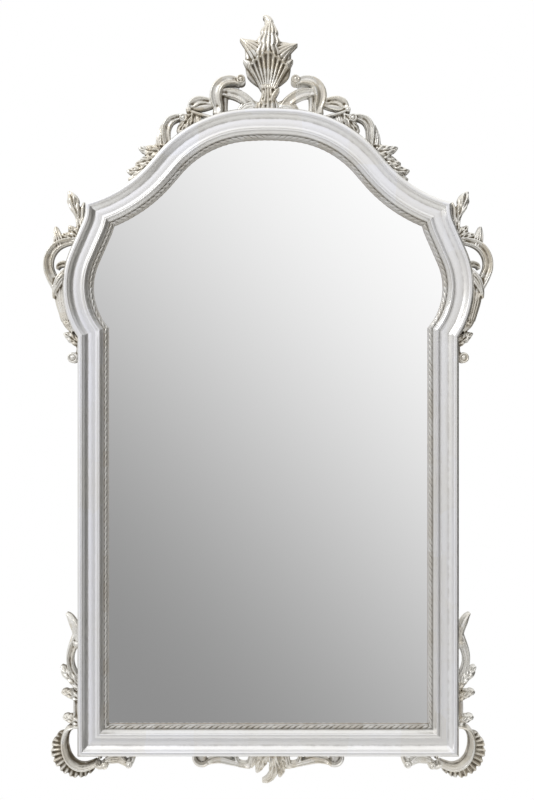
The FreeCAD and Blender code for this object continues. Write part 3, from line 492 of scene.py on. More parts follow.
class Effects:
    """The shader node groups that several finishes share, each built once."""

    _made: ClassVar[dict[str, bpy.types.NodeTree]] = {}

    @classmethod
    def _group(cls, name: str, takes: dict[str, float], gives: list[str],
               draw: Callable[[Nodes, object], dict[str, Socket]]) -> bpy.types.NodeTree:
        """Make a group of value sockets, or return it if it was made before.

        Args:
            name: The group's name.
            takes: Its inputs with their defaults.
            gives: Its outputs.
            draw: Fills the group from its nodes and the sockets of its inputs.

        Returns:
            The group's tree.
        """
        if name not in cls._made:
            tree = bpy.data.node_groups.new(name, "ShaderNodeTree")
            for title, value in takes.items():
                tree.interface.new_socket(title, in_out="INPUT", socket_type="NodeSocketFloat").default_value = value
            for title in gives:
                tree.interface.new_socket(title, in_out="OUTPUT", socket_type="NodeSocketFloat")
            nodes = Nodes(tree)
            nodes.add("NodeGroupOutput", {}, draw(nodes, nodes.add("NodeGroupInput").outputs))
            cls._made[name] = tree
        return cls._made[name]

    @classmethod
    def umber_and_shade_wash(cls) -> bpy.types.NodeTree:
        """Thin brown glaze that stays in hollows, broken up by noise; its mask also carries painted shade on the
        castings and the slip.
        """

        def draw(nodes: Nodes, given: object) -> dict[str, Socket]:
            place = nodes.place()
            patchy = nodes.math("MULTIPLY", nodes.ramp(nodes.noise(place, 55.0), 0.3, 0.7, 0.65, 1.25),
                                given["Hollow"])
            film = nodes.math("MULTIPLY", nodes.ramp(nodes.noise(place, 18.0, 6.0, 0.7), 0.42, 0.78), given["Film"])
            pooled = nodes.math("MULTIPLY", nodes.ramp(patchy, 0.12, 0.85), given["Depth"])
            return {"Mask": nodes.math("ADD", pooled, film, clamp=True)}

        return cls._group("umber_and_shade_wash", {"Hollow": 0.0, "Depth": 1.0, "Film": 0.15}, ["Mask"], draw)

    @classmethod
    def leaf_sheets(cls) -> bpy.types.NodeTree:
        """Sheets of metal leaf: a tone for each sheet, fine laps, wrinkles and small breaks."""

        def draw(nodes: Nodes, given: object) -> dict[str, Socket]:
            place = nodes.place()
            bent = nodes.add("ShaderNodeVectorMath", {"operation": "MULTIPLY_ADD"},
                             {0: nodes.noise(place, 9.0, 2.0, 0.5, "Color"), 1: (0.02, 0.02, 0.02), 2: place})
            sheet = {"Vector": bent.outputs[0], "Scale": given["Scale"], "Randomness": 0.35}
            cells = nodes.add("ShaderNodeTexVoronoi", {"distance": "CHEBYCHEV"}, sheet)
            edge = nodes.add("ShaderNodeTexVoronoi", {"feature": "DISTANCE_TO_EDGE"}, sheet)
            tone = nodes.add("ShaderNodeSeparateColor", {}, {0: cells.outputs["Color"]}).outputs[0]
            return {"Tone": tone, "Lap": nodes.ramp(edge.outputs["Distance"], 0.0, 0.03, 1.0, 0.0),
                    "Wrinkle": nodes.noise(place, 240.0, 4.0, 0.6),
                    "Break": nodes.ramp(nodes.noise(place, 420.0, 2.0, 0.5), 0.66, 0.74)}

        return cls._group("leaf_sheets", {"Scale": 11.0}, ["Tone", "Lap", "Wrinkle", "Break"], draw)


@dataclass(frozen=True)
class Finish:
    """A plain finish: one colour with its grain, roughness and bump."""

    name: str
    colour: Triple
    roughness: float = 0.5
    metallic: float = 0.0
    grain_scale: float = 300.0
    grain_depth: float = 0.3
    tone_spread: float = 0.08
    stretch: Triple = (1.0, 1.0, 1.0)

    def start(self) -> tuple[bpy.types.Material, Nodes, bpy.types.Node]:
        """New material with a Principled shader on its output."""
        material = bpy.data.materials.new(self.name)
        nodes = Nodes.fresh(material)
        shader = nodes.add("ShaderNodeBsdfPrincipled", {}, {"Metallic": self.metallic})
        nodes.add("ShaderNodeOutputMaterial", {}, {"Surface": shader.outputs[0]})
        return material, nodes, shader

    def make(self) -> bpy.types.Material:
        """Build the material: grain noise moves the colour, the roughness and a fine bump."""
        material, nodes, shader = self.start()
        place = nodes.stretched(self.stretch)
        grain = nodes.noise(place, self.grain_scale, 4.0, 0.6)
        drift = nodes.noise(place, self.grain_scale / 12.0, 3.0, 0.5)
        tone = nodes.math("MULTIPLY", nodes.math("ADD", grain, drift), 0.5)
        low, high = (tuple(min(part * share, 1.0) for part in self.colour)
                     for share in (1 - self.tone_spread, 1 + self.tone_spread))
        nodes.feed(shader, {
            "Base Color": nodes.blend(nodes.ramp(tone, 0.35, 0.65), low, high),
            "Roughness": nodes.ramp(grain, 0.3, 0.7, self.roughness * 0.85, min(self.roughness * 1.15, 1.0)),
            "Normal": nodes.bump(grain, self.grain_depth, 0.0004)})
        return material


@dataclass(frozen=True)
class SilverLeaf(Finish):
    """Aged silver leaf over bole with an umber wash in its hollows, whose colour also paints shade where the mask
    carries it; the back is left bare.
    """

    warm: Triple = (0.72, 0.66, 0.56)
    # colour of the umber wash, which also paints shade on the castings and the slip
    wash: Triple = (0.085, 0.065, 0.04)
    wash_depth: float = 1.0
    film: float = 0.12
    leaf_scale: float = 11.0
    wrinkle_depth: float = 0.25
    breaks: float = 0.3
    laps: float = 0.25
    bare: Triple = (0.62, 0.47, 0.31)
    bare_grain: Triple = (1.0, 1.0, 0.08)

    def make(self) -> bpy.types.Material:
        """Build the material from the leaf and wash groups and the mesh's hollow and bare attributes."""
        material, nodes, shader = self.start()
        wash = nodes.add("ShaderNodeGroup", {"node_tree": Effects.umber_and_shade_wash()}, {
            "Hollow": nodes.attribute(HOLLOW), "Depth": self.wash_depth, "Film": self.film}).outputs["Mask"]
        leaf = nodes.add("ShaderNodeGroup", {"node_tree": Effects.leaf_sheets()}, {"Scale": self.leaf_scale}).outputs
        cloud = nodes.math("MULTIPLY", nodes.noise(nodes.place(), 30.0, 5.0, 0.65), 0.5)
        tone = nodes.math("MULTIPLY_ADD", leaf["Tone"], 0.5, cloud)
        silver = nodes.blend(nodes.ramp(tone, 0.25, 0.8), self.colour, self.warm)
        lapped = nodes.blend(nodes.math("MULTIPLY", leaf["Lap"], self.laps), silver, self.warm)
        broken = nodes.blend(nodes.math("MULTIPLY", leaf["Break"], self.breaks), lapped, self.wash)
        rough = nodes.ramp(leaf["Wrinkle"], 0.3, 0.7, self.roughness * 0.85, self.roughness * 1.15)
        worn = nodes.math("MULTIPLY_ADD", wash, 0.3, rough, clamp=True)
        height = nodes.math("MULTIPLY_ADD", leaf["Lap"], 0.35, leaf["Wrinkle"])
        back = nodes.ramp(nodes.attribute(BARE), 0.86, 0.94)
        grain = nodes.ramp(nodes.noise(nodes.stretched(self.bare_grain), 260.0, 4.0, 0.6), 0.35, 0.65)
        plain = nodes.blend(grain, tuple(part * 0.78 for part in self.bare), self.bare)
        shine = nodes.ramp(wash, 0.0, 0.8, self.metallic, 0.1)
        nodes.feed(shader, {
            "Base Color": nodes.blend(back, nodes.blend(wash, broken, self.wash), plain),
            "Metallic": nodes.math("MULTIPLY", shine, nodes.math("SUBTRACT", 1.0, back)),
            "Roughness": nodes.math("MULTIPLY_ADD", back, 0.35, worn, clamp=True),
            "Normal": nodes.bump(height, self.wrinkle_depth, 0.0003)})
        return material


@dataclass(frozen=True)
class SilveredGlass(Finish):
    """Float glass, silvered behind: a clean mirror."""

    def make(self) -> bpy.types.Material:
        """Build the material: fully metallic, with a ripple too faint to see but in reflections."""
        material, nodes, shader = self.start()
        ripple = nodes.noise(nodes.place(), 3.0, 1.0, 0.4)
        haze = nodes.noise(nodes.place(), 14.0, 4.0, 0.6)
        nodes.feed(shader, {"Base Color": self.colour, "Normal": nodes.bump(ripple, 0.02, 0.0002),
                            "Roughness": nodes.ramp(haze, 0.3, 0.8, self.roughness, self.roughness * 1.6)})
        return material


class Coat(Enum):
    """Which finish a piece wears."""

    MOULDING = SilverLeaf("silver_leaf_moulding", (0.85, 0.85, 0.86), 0.33, 0.9, warm=(0.83, 0.82, 0.80),
                          wash=(0.22, 0.20, 0.16), wash_depth=0.45, film=0.02, leaf_scale=9.0, breaks=0.15)
    SLIP = SilverLeaf("silver_leaf_slip", (0.62, 0.61, 0.58), 0.36, 0.85, warm=(0.545, 0.52, 0.47),
                      wash=(0.13, 0.11, 0.075), film=0.06, leaf_scale=30.0)
    CASTING = SilverLeaf("silver_leaf_casting", (0.82, 0.805, 0.76), 0.31, 0.72, warm=(0.73, 0.68, 0.585),
                         wash=(0.14, 0.112, 0.07), film=0.08, leaf_scale=24.0, bare=(0.6, 0.56, 0.48),
                         bare_grain=(1.0, 1.0, 1.0))
    GLASS = SilveredGlass("mirror_silvering", (0.938, 0.938, 0.938), 0.004, 1.0)
    BOARD = Finish("pressed_board", (0.36, 0.24, 0.15), 0.8, 0.0, 900.0, 0.5, 0.07)
    WOOD = Finish("bare_hardwood", (0.62, 0.46, 0.29), 0.6, 0.0, 220.0, 0.4, 0.15, (1.0, 1.0, 0.08))
    FELT = Finish("black_felt", (0.03, 0.03, 0.03), 0.95, 0.0, 900.0, 0.8, 0.2)
    RUBBER = Finish("black_rubber", (0.03, 0.03, 0.03), 0.65, 0.0, 700.0, 0.25, 0.1)
    STEEL = Finish("zinc_plate", (0.62, 0.63, 0.62), 0.36, 1.0, 420.0, 0.2, 0.1)

    def dress(self, thing: bpy.types.Object) -> None:
        """Give an object this finish alone, whose material is built the first time it is asked for."""
        thing.data.materials.clear()
        thing.data.materials.append(bpy.data.materials.get(self.value.name) or self.value.make())


def settle(thing: bpy.types.Object, node: str, coat: Coat, slot: str) -> None:
    """Put a finished piece in the place of the solid that it stands for.

    Args:
        thing: The piece.
        node: The solid's node.
        coat: Its finish.
        slot: Not used.
    """
    coat.dress(thing)
    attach(thing, "frame")
    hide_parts(node)
    LOG.info("%s: %d faces for %s", thing.name, len(thing.data.polygons), node)


@dataclass(frozen=True)
class Moulding:
    """The mitred lengths of moulding, swept along the sight line.

    The wash gives how much of the umber stays, at shares of the width from the sight edge; the side
    walls below the wash line get none. Curved lengths have a ring every row step, and straight ones
    are coarser by the straight rows.
    """

    line: SightLine
    bench: Bench
    coat: Coat = Coat.MOULDING
    slot: str = "silvered_moulding"
    ending: str = "_leafed"
    crease: float = math.radians(42.0)
    depth: float = 0.044
    rebate_rise: float = 0.012
    slip_width: float = 0.0105
    slip_back: float = 0.0108
    row_step: float = 0.006
    straight_rows: int = 4
    hollow_reach: float = 0.007
    wash_line: float = 0.0176
    bare_line: float = 0.001
    wash: tuple[tuple[float, ...], ...] = ((0.17, 0.2, 0.4, 0.42, 0.47), (0.3, 0.1, 0.3, 1.2, 0.7))

    def face(self) -> np.ndarray:
        """Closed profile as (outward, height): the carved front, then the back and the rebate wall.

        The front is a row of arcs in shares of the width and the depth, each with a point on it, its
        end, and how many points it gets.
        """
        arcs = [((0.213, 0.68), (0.25, 0.8), 10), ((0.272, 0.83), (0.3, 0.818), 6),
                ((0.355, 0.752), (0.42, 0.724), 8), ((0.54, 0.723), (0.655, 0.7), 8),
                ((0.663, 0.702), (0.672, 0.714), 3), ((0.75, 0.802), (0.818, 0.955), 14),
                ((0.842, 0.99), (0.878, 1.0), 6), ((0.92, 0.997), (0.955, 0.975), 4),
                ((0.985, 0.935), (1.0, 0.86), 6)]
        last = (0.168, 0.59)
        points = [np.array([(0.159, 0.57), last])]
        for middle, end, count in arcs:
            points.append(arc_through(last, middle, end, count))
            last = end
        width, rise = self.line.width, self.rebate_rise
        closing = [(width, rise), (width, 0.0), (self.slip_width, 0.0), (self.slip_width, rise)]
        return np.concatenate([np.concatenate(points) * np.array([width, self.depth]), closing])

    def hollows(self, profile: np.ndarray) -> np.ndarray:
        """How deep each profile point lies below its surroundings, from 0 to 1.

        The height is compared with its mean over a stretch of the profile, and the shortfall is
        divided by a quarter of that stretch.
        """
        reach = self.hollow_reach
        step = np.linalg.norm(np.diff(profile, axis=0, append=profile[:1]), axis=1)
        at = np.cumsum(step) - step
        gap = np.abs(at[:, None] - at[None, :])
        gap = np.minimum(gap, step.sum() - gap)
        weight = np.exp(-(gap / reach) ** 2) * step[None, :]
        mean = weight @ profile[:, 1] / weight.sum(axis=1)
        return np.clip((mean - profile[:, 1]) / (reach * 0.25), 0.0, 1.0)

    def sweep(self, track: Track, profile: np.ndarray, start: np.ndarray | None, end: np.ndarray | None,
              row_step: float) -> tuple[np.ndarray, np.ndarray]:
        """Carry a profile along a track between two mitres.

        Every profile point runs from its own crossing with the first mitre to its own crossing with
        the second, so both ends are flat cuts.

        Args:
            track: The stretch of the sight line.
            profile: Closed profile as (outward, height).
            start: Two points of the first mitre, or None for the track's own start.
            end: Two points of the last mitre, or None for the track's own end.
            row_step: Distance between rings.

        Returns:
            The grid of places in the frame, and the distance along the track of each point.
        """
        outward = profile[:, 0]
        first = np.zeros(len(outward)) if start is None else track.crossing(outward, *start, late=False)
        last = np.full(len(outward), track.run[-1]) if end is None else track.crossing(outward, *end, late=True)
        rows = max(int((last - first).max() / row_step), 4)
        along = first + (last - first) * np.linspace(0.0, 1.0, rows)[:, None]
        spots = track.at(along, np.broadcast_to(outward, along.shape))
        return self.bench.lay(spots[..., 0], spots[..., 1], np.broadcast_to(profile[:, 1], along.shape)), along

    def lengths(self) -> dict[str, tuple[Track, np.ndarray | None, np.ndarray | None]]:
        """The lengths by name, each with its track and the two points of each of its mitres."""
        upper, lower, foot = (np.stack([corner(0.0), corner(self.line.width)]) for corner in (
            self.line.upper_corner, self.line.lower_corner, self.line.foot_corner))
        return {"arch": (self.line.arch(), None, upper), "shoulder": (self.line.shoulder(), upper, lower),
                "stile": (self.line.stile(), lower, foot),
                "bottom": (self.line.bottom(), foot, foot * np.array([-1.0, 1.0]))}

    def place(self, title: str, grid: np.ndarray, hollow: np.ndarray, bare: np.ndarray) -> None:
        """Build a length, and its mirror image unless it is the bottom one, and settle them.

        Args:
            title: The node's name without its side.
            grid: Places of the length, as rings by profile points by three.
            hollow: How hollow each place is.
            bare: Which profile points lie on the bare back.
        """
        sides = {"_right": grid, "_left": grid * np.array([-1.0, 1.0, 1.0])}
        for side, part in ({"": grid} if title.startswith("bottom") else sides).items():
            thing = MeshMaker.build(title + side + self.ending, *MeshMaker.tube(part))
            MeshMaker.write(thing, HOLLOW, np.broadcast_to(hollow, grid.shape[:2]))
            MeshMaker.write(thing, BARE, np.broadcast_to(bare, grid.shape[:2]))
            thing.data.shade_smooth()
            thing.data.set_sharp_from_angle(angle=self.crease)
            settle(thing, title + side, self.coat, self.slot)

    def build(self) -> None:
        """Make the seven lengths of moulding."""
        profile = self.face()
        hollow = self.hollows(profile) * np.interp(profile[:, 0] / self.line.width, *self.wash)
        hollow[profile[:, 1] < self.wash_line] = 0.0
        for name, (track, start, end) in self.lengths().items():
            step = self.row_step if name in ("arch", "shoulder") else self.row_step * self.straight_rows
            grid, _ = self.sweep(track, profile, start, end, step)
            self.place(name if name == "stile" else name + "_rail", grid, hollow, profile[:, 1] < self.bare_line)


@dataclass(frozen=True)
class RopeSlip(Moulding):
    """The carved sight slip: a twisted rope on a sloping bed.

    The washes are the umber in the rope's grooves and in the quirk behind it, painted shade low on the sight edge, and
    the painted shadow that the bottom length throws on itself. The quirk is its place across the slip and the distance
    over which its wash fades.
    """

    coat: Coat = Coat.SLIP
    slot: str = "silvered_slip"
    ending: str = "_carved"
    crease: float = math.radians(60.0)
    row_step: float = 0.0016
    rope_radius: float = 0.0037
    rope_seat: Pair = (0.0052, 0.0215)
    rope_turn: Pair = (math.radians(205.0), math.radians(-25.0))
    rope_points: int = 18
    twist_pitch: float = 0.0135
    twist_depth: float = 0.16
    strand_mean: float = 1.27
    groove_wash: float = 0.62
    quirk_umber_and_edge_shade: float = 0.15
    quirk: Pair = (0.0095, 0.0012)
    sight_fade: float = 0.009
    painted_shadow: float = 0.3
    shade_reach: float = 0.008

    def bed(self) -> tuple[np.ndarray, np.ndarray, np.ndarray]:
        """Profile of the slip, each point's angle about the rope's middle, and which are the rope's.

        The rope is most of a circle, from just above the sight edge round to the outer quirk.
        """
        turn = np.linspace(*self.rope_turn, self.rope_points)
        rope = np.array(self.rope_seat) + self.rope_radius * np.stack([np.cos(turn), np.sin(turn)], axis=1)
        before = [(0.0, self.slip_back), (0.0, self.slip_back + 0.003), (0.0008, 0.0175)]
        after = [(0.009, 0.0236), (0.0098, 0.0249), (self.slip_width, 0.0249), (self.slip_width, self.slip_back)]
        ends = (len(before), len(after))
        return np.concatenate([before, rope, after]), np.pad(turn, ends), np.pad(np.ones(len(turn)), ends)

    def build(self) -> None:
        """Make the seven lengths of slip.

        The rope swells by the twist depth times twice the size of a cosine, less its mean: that of
        the angle plus the distance along in half turns to each pitch, so two strands wind round it.
        """
        profile, angle, rope = self.bed()
        place, fade = self.quirk
        # seat: umber in the quirk, and painted shade low on the sight edge
        seat = np.maximum(np.clip(1.2 - np.abs(profile[:, 0] - place) / fade, 0.0, 1.0),
                          np.clip(1.0 - (profile[:, 1] - self.slip_back) / self.sight_fade, 0.0, 1.0) * 0.8)
        for name, (track, start, end) in self.lengths().items():
            grid, along = self.sweep(track, profile, start, end, self.row_step)
            strands = np.abs(np.cos(angle + along * math.pi / self.twist_pitch))
            swell = self.twist_depth * (strands * 2 - self.strand_mean) * rope
            push = swell * self.rope_radius
            out = heading(np.interp(along, track.run, track.leans)) * (push * np.cos(angle))[..., None]
            grid = grid + np.stack([out[..., 0], -push * np.sin(angle), out[..., 1]], axis=-1)
            hollow = np.clip(-swell / self.twist_depth, 0.0, 1.0) ** 1.5 * self.groove_wash + seat * self.quirk_umber_and_edge_shade
            # painted shadow on the inner part of the bottom length's slip only
            if name == "bottom":
                hollow += self.painted_shadow * (profile[:, 0] < self.shade_reach)
            self.place(name + "_slip", grid, np.clip(hollow, 0.0, 1.0), profile[:, 1] <= self.slip_back)


class Cut(Enum):
    """How a stroke's front is carved across its width."""

    BAND = "band"
    LIP = "lip"
    LEAF = "leaf"
    BLADE = "blade"
    REED = "reed"


@dataclass(frozen=True)
class Stroke:
    """One stroke of the carver.

    Points are (across, up, half width, height) in thousandths: the first three of the casting's
    span, the height of its relief. Side tells on which side of a band its thick rim lies, lobes how
    many leaflets the edge has, and flutes how many ridges a blade has.
    """

    points: tuple[tuple[int, int, int, int], ...]
    cut: Cut = Cut.LEAF
    lobes: float = 0.0
    side: int = 1
    flutes: int = 5

    def flipped(self) -> Stroke:
        """The stroke on the other side of the middle line."""
        return replace(self, points=tuple((-a, u, w, h) for a, u, w, h in self.points), side=-self.side)


@dataclass(frozen=True)
class Shell:
    """A fan of flutes round a root, with a scalloped edge.

    The root is (across, up), and the start is the fan's inner radius, in shares of the span. The
    radii are given for evenly spaced leans from the first to the last, and the heights are shares of
    the relief at the root and at the edge. Each scallop of the edge holds one flute or more, by the
    ridges. The stain is umber over the whole fan.
    """

    root: Pair
    start: float
    leans: Pair
    radii: tuple[float, ...]
    heights: Pair
    flutes: int
    scallop: float = 0.05
    rim: float = 0.1
    depth: float = 0.14
    ridges: int = 1
    stain: float = 0.0
    stain_margin: float = 0.035

    def covers(self, spots: np.ndarray) -> np.ndarray:
        """Which places, in shares of the span from the casting's anchor, lie in the fan."""
        ray = spots - np.array(self.root)
        first, last = self.leans
        turn = (np.degrees(np.arctan2(ray[:, 0], ray[:, 1])) - (first + last) / 2 + 180.0) % 360.0 - 180.0
        return (np.abs(turn) < (last - first) / 2) & (np.linalg.norm(ray, axis=1) > self.start + self.stain_margin)

    def flipped(self) -> Shell:
        """The shell on the other side of the middle line."""
        return replace(self, root=(-self.root[0], self.root[1]), leans=(-self.leans[1], -self.leans[0]),
                       radii=self.radii[::-1])


@dataclass(frozen=True)
class WashAndShade:
    """How much umber and painted shade each cause leaves on a casting, and over what lengths in metres it works.

    Umber lies in fine and wide hollows. Painted shade lies where higher relief stands close by, at the joint with the
    moulding and on low relief. A hollow is full at a depth that is given in voxels. The hand takes a little off.
    """

    fine: float = 0.55
    fine_depth: float = 0.4
    wide: float = 0.45
    wide_depth: float = 1.2
    shade: float = 0.45
    shade_reach: float = 0.007
    shade_fade: Pair = (0.002, 0.014)
    joint: float = 0.35
    joint_reach: float = 0.007
    low: float = 0.5
    low_below: float = 0.031
    low_fade: float = 0.02
    hand: float = 0.12


@dataclass(frozen=True)
class Carving:
    """A casting: strokes, shells and scroll eyes melted into one skin, and how heavy its umber wash and painted shade
    are.

    The wall is the share of a stroke's height that its sides stand up straight, the flank the height
    of their middle, and the slant how many leaflets a flute runs forward on its way to the edge. Eyes
    are (across, up, radius, height) in thousandths, as a stroke's points are. Over the seat run
    inside the moulding's outer edge a casting is drawn in between the seat's back and its front.
    """

    line: SightLine
    bench: Bench
    anchor: Pair
    span: float
    strokes: tuple[Stroke, ...]
    relief: float = 0.046
    eyes: tuple[tuple[int, int, int, int], ...] = ()
    shells: tuple[Shell, ...] = ()
    voxel: float = 0.0012
    rings: int = 72
    front_points: int = 35
    thinnest: float = 0.0012
    wall: float = 0.62
    flank: float = 0.45
    slant: float = 1.1
    tallest: float = 0.05
    seat_run: float = 0.002
    seat_back: float = 0.004
    seat_drop: float = 0.024
    softening: float = 0.45
    bare_line: float = 0.0005
    bare_fade: float = 0.001
    # scales the umber wash and the painted shade together
    umber: float = 1.0
    wash_and_shade: WashAndShade = WashAndShade()

    def scaled(self, rows: object) -> np.ndarray:
        """Rows in thousandths as metres: the heights by the relief, all else by the span."""
        return np.array(rows) / 1000 * np.array([self.span] * 3 + [self.relief])

    def lay(self, spots: np.ndarray, height: np.ndarray) -> np.ndarray:
        """Places in the frame of points round the anchor, which sink into the moulding where they meet it."""
        spots = spots + np.array(self.anchor)
        share = np.clip(self.line.depth_inside(spots) / self.seat_run, 0.0, 1.0)
        height = np.clip(height, self.seat_back * share, self.tallest - self.seat_drop * share)
        return self.bench.lay(spots[..., 0], spots[..., 1], height)

    def front(self, across: np.ndarray, along: np.ndarray, stroke: Stroke) -> np.ndarray:
        """Height of a stroke's front as a share of its own height.

        A dome, the root of one less the square of the distance across, stands on the side wall. A
        band sinks to a shallow hollow between a thick rim and a thin one. A lip is a flat rim, from
        which the band falls steeply inward and softly outward. A leaf has a sunk midrib, and flutes
        that slant forward from it, one to each leaflet. A blade has lengthwise flutes, and a reed is
        the plain dome.

        Args:
            across: Distance from the midline, from -1 to 1.
            along: Distance along the stroke, from 0 to 1.
            stroke: The stroke.

        Returns:
            The shares of the stroke's height.
        """
        dome = self.wall + (1 - self.wall) * np.sqrt(np.clip(1 - across ** 2, 0.0, 1.0))
        fade = np.clip(np.minimum(along + 0.05, 1.05 - along) * 5, 0.0, 1.0)
        out, shifted = np.abs(across), across * stroke.side
        if stroke.cut is Cut.BAND:
            hollow = 0.2 * np.clip(1 - ((shifted + 0.14) / 0.62) ** 2, 0.0, 1.0)
            bead = 0.05 * np.exp(-((shifted - 0.66) / 0.16) ** 2)
            return dome + (bead - hollow) * fade
        if stroke.cut is Cut.LIP:
            inward = 0.7 * np.clip(-(shifted + 0.05) / 0.55, 0.0, 1.0) ** 0.8
            outward = 0.4 * np.clip((shifted - 0.45) / 0.55, 0.0, 1.0) ** 1.5
            return 1.0 - 0.03 * shifted ** 2 - inward - outward
        if stroke.cut is Cut.LEAF:
            rib = 0.16 * np.exp(-(across / 0.14) ** 2)
            wave = np.cos(2 * math.pi * (stroke.lobes * along - self.slant * out))
            flutes = 0.075 * wave * np.clip(out * 2.5, 0.0, 1.0)
            return dome + flutes - rib * fade
        if stroke.cut is Cut.BLADE:
            ridge = np.abs(np.cos(stroke.flutes / 2 * math.pi * across)) ** 0.7
            return dome + 0.6 / stroke.flutes * (ridge - 0.8) * fade
        return dome

    def skin(self, stroke: Stroke) -> Solid:
        """Closed surface of one stroke: rings that hold its front, two flanks and a flat back."""
        rows = smooth_line(self.scaled(stroke.points), self.rings)
        along = np.linspace(0.0, 1.0, len(rows))
        tangent = np.gradient(rows[:, :2], axis=0)
        tangent /= np.linalg.norm(tangent, axis=1, keepdims=True)
        aside = quarter(tangent)
        half = np.maximum(rows[:, 2], self.thinnest)
        if stroke.lobes:
            part = (stroke.lobes * along - self.slant) % 1.0
            half = half * (0.86 + 0.24 * np.sin(math.pi * part ** 0.75))
        across = np.sin(np.linspace(-math.pi / 2, math.pi / 2, self.front_points))
        shape = self.front(across[None, :], along[:, None], stroke)
        shape = np.concatenate([shape[:, :1] * self.flank, shape, shape[:, -1:] * self.flank], axis=1)
        shape = np.pad(shape, ((0, 0), (1, 3)))
        ring = np.concatenate([[-0.9, -0.97], across, [0.97, 0.9, 0.3, -0.3]])
        spots = rows[:, None, :2] + aside[:, None, :] * (ring[None, :] * half[:, None])[..., None]
        return MeshMaker.tube(self.lay(spots, shape * rows[:, 3:]))

    def boss(self, eye: tuple[int, int, int, int]) -> Solid:
        """Domed boss at a scroll's eye: a button inside a rounded ring."""
        across, up, radius, rise = self.scaled(eye)
        turn = np.linspace(0.0, 2 * math.pi, 40, endpoint=False)
        share = np.array([1.0, 1.0, 0.97, 0.88, 0.74, 0.58, 0.5, 0.42, 0.28, 0.08])
        level = np.array([0.0, 0.72, 0.86, 0.96, 1.0, 0.93, 0.88, 0.95, 1.0, 1.02])
        spots = np.array([across, up]) + radius * share[:, None, None] * heading(turn)
        return MeshMaker.tube(self.lay(spots, np.broadcast_to((level * rise)[:, None], spots.shape[:2])))

    def fan(self, shell: Shell) -> Solid:
        """Closed surface of a shell.

        Round the root the flutes are half circles, so their height is the size of the sine of the
        share of the fan times the number of flutes. They deepen towards the edge, where a rim
        stands, and the edge itself swells with each flute.
        """
        share = np.linspace(0.0, 1.0, shell.flutes * shell.ridges * 12 + 1)
        lean = np.radians(shell.leans[0] + (shell.leans[1] - shell.leans[0]) * share)
        swell, ridge = (np.abs(np.sin(math.pi * shell.flutes * count * share)) for count in (1, shell.ridges))
        edge = np.interp(share, np.linspace(0.0, 1.0, len(shell.radii)), shell.radii)
        edge *= 1 - shell.scallop + shell.scallop * 2 * swell ** 0.6
        step = np.concatenate([np.linspace(0.0, 0.86, 12), [0.9, 0.94, 0.97, 0.99, 1.0]])[None, :]
        radius = shell.start + (edge[:, None] - shell.start) * step
        low, high = shell.heights
        level = low + (high - low) * step + shell.depth * (ridge[:, None] ** 1.3 - 0.6) * (0.25 + step)
        level = (level + shell.rim * np.exp(-((step - 0.93) / 0.05) ** 2)) * np.where(step > 0.97, 0.9, 1.0)
        radius = np.concatenate([radius, radius[:, -1:], radius[:, :1]], axis=1)
        spots = (np.array(shell.root) + heading(lean)[:, None, :] * radius[..., None]) * self.span
        return MeshMaker.tube(self.lay(spots, np.pad(level, ((0, 0), (0, 2))) * self.relief))

    def melt(self, name: str) -> bpy.types.Object:
        """Join every stroke, eye and shell, and melt them into one skin with its hollows marked."""
        parts = [*map(self.skin, self.strokes), *map(self.boss, self.eyes), *map(self.fan, self.shells)]
        rough = MeshMaker.build(name + "_strokes", *MeshMaker.join(parts))
        melt = rough.modifiers.new("melt", "REMESH")
        melt.mode = "VOXEL"
        melt.voxel_size = self.voxel
        mesh = bpy.data.meshes.new_from_object(rough.evaluated_get(bpy.context.evaluated_depsgraph_get()))
        bpy.data.objects.remove(rough)
        mesh.name = name
        thing = add_object(name, mesh)
        self.mark_hollows(thing)
        mesh.polygons.foreach_set("use_smooth", np.ones(len(mesh.polygons), bool))
        return thing

    @staticmethod
    def neighbour_mean(values: np.ndarray, edges: np.ndarray) -> np.ndarray:
        """Mean of the values at each point's neighbours."""
        count = len(values)
        near, far = np.concatenate([edges, edges[:, ::-1]]).T
        degree = np.maximum(np.bincount(near, minlength=count), 1)[:, None]
        sums = [np.bincount(near, weights=column[far], minlength=count) for column in values.T]
        return np.stack(sums, axis=1) / degree

    def overshadow(self, spots: np.ndarray, cell: float = 0.0015) -> np.ndarray:
        """How far each point lies below the highest relief near it, from 0 to 1: the painted shade that higher relief
        throws.

        The heights are laid on a map of square cells that keeps the highest in each cell. The map is
        spread by the largest value within the reach and softened, and each point reads the cell that
        it lies in.
        """
        height = self.bench.back - spots[:, 1]
        row, column = ((spots[:, [0, 2]] - spots[:, [0, 2]].min(axis=0)) / cell).astype(int).T + 8
        chart = np.zeros((row.max() + 9, column.max() + 9))
        np.maximum.at(chart, (row, column), height)
        reach = int(self.wash_and_shade.shade_reach / cell)
        for axis in (0, 1):
            chart = np.max([np.roll(chart, k, axis) for k in range(-reach, reach + 1)], axis=0)
        for axis in (0, 1) * 3:
            chart = (np.roll(chart, 1, axis) + chart + np.roll(chart, -1, axis)) / 3
        start, full = self.wash_and_shade.shade_fade
        return np.clip((chart[row, column] - height - start) / full, 0.0, 1.0)

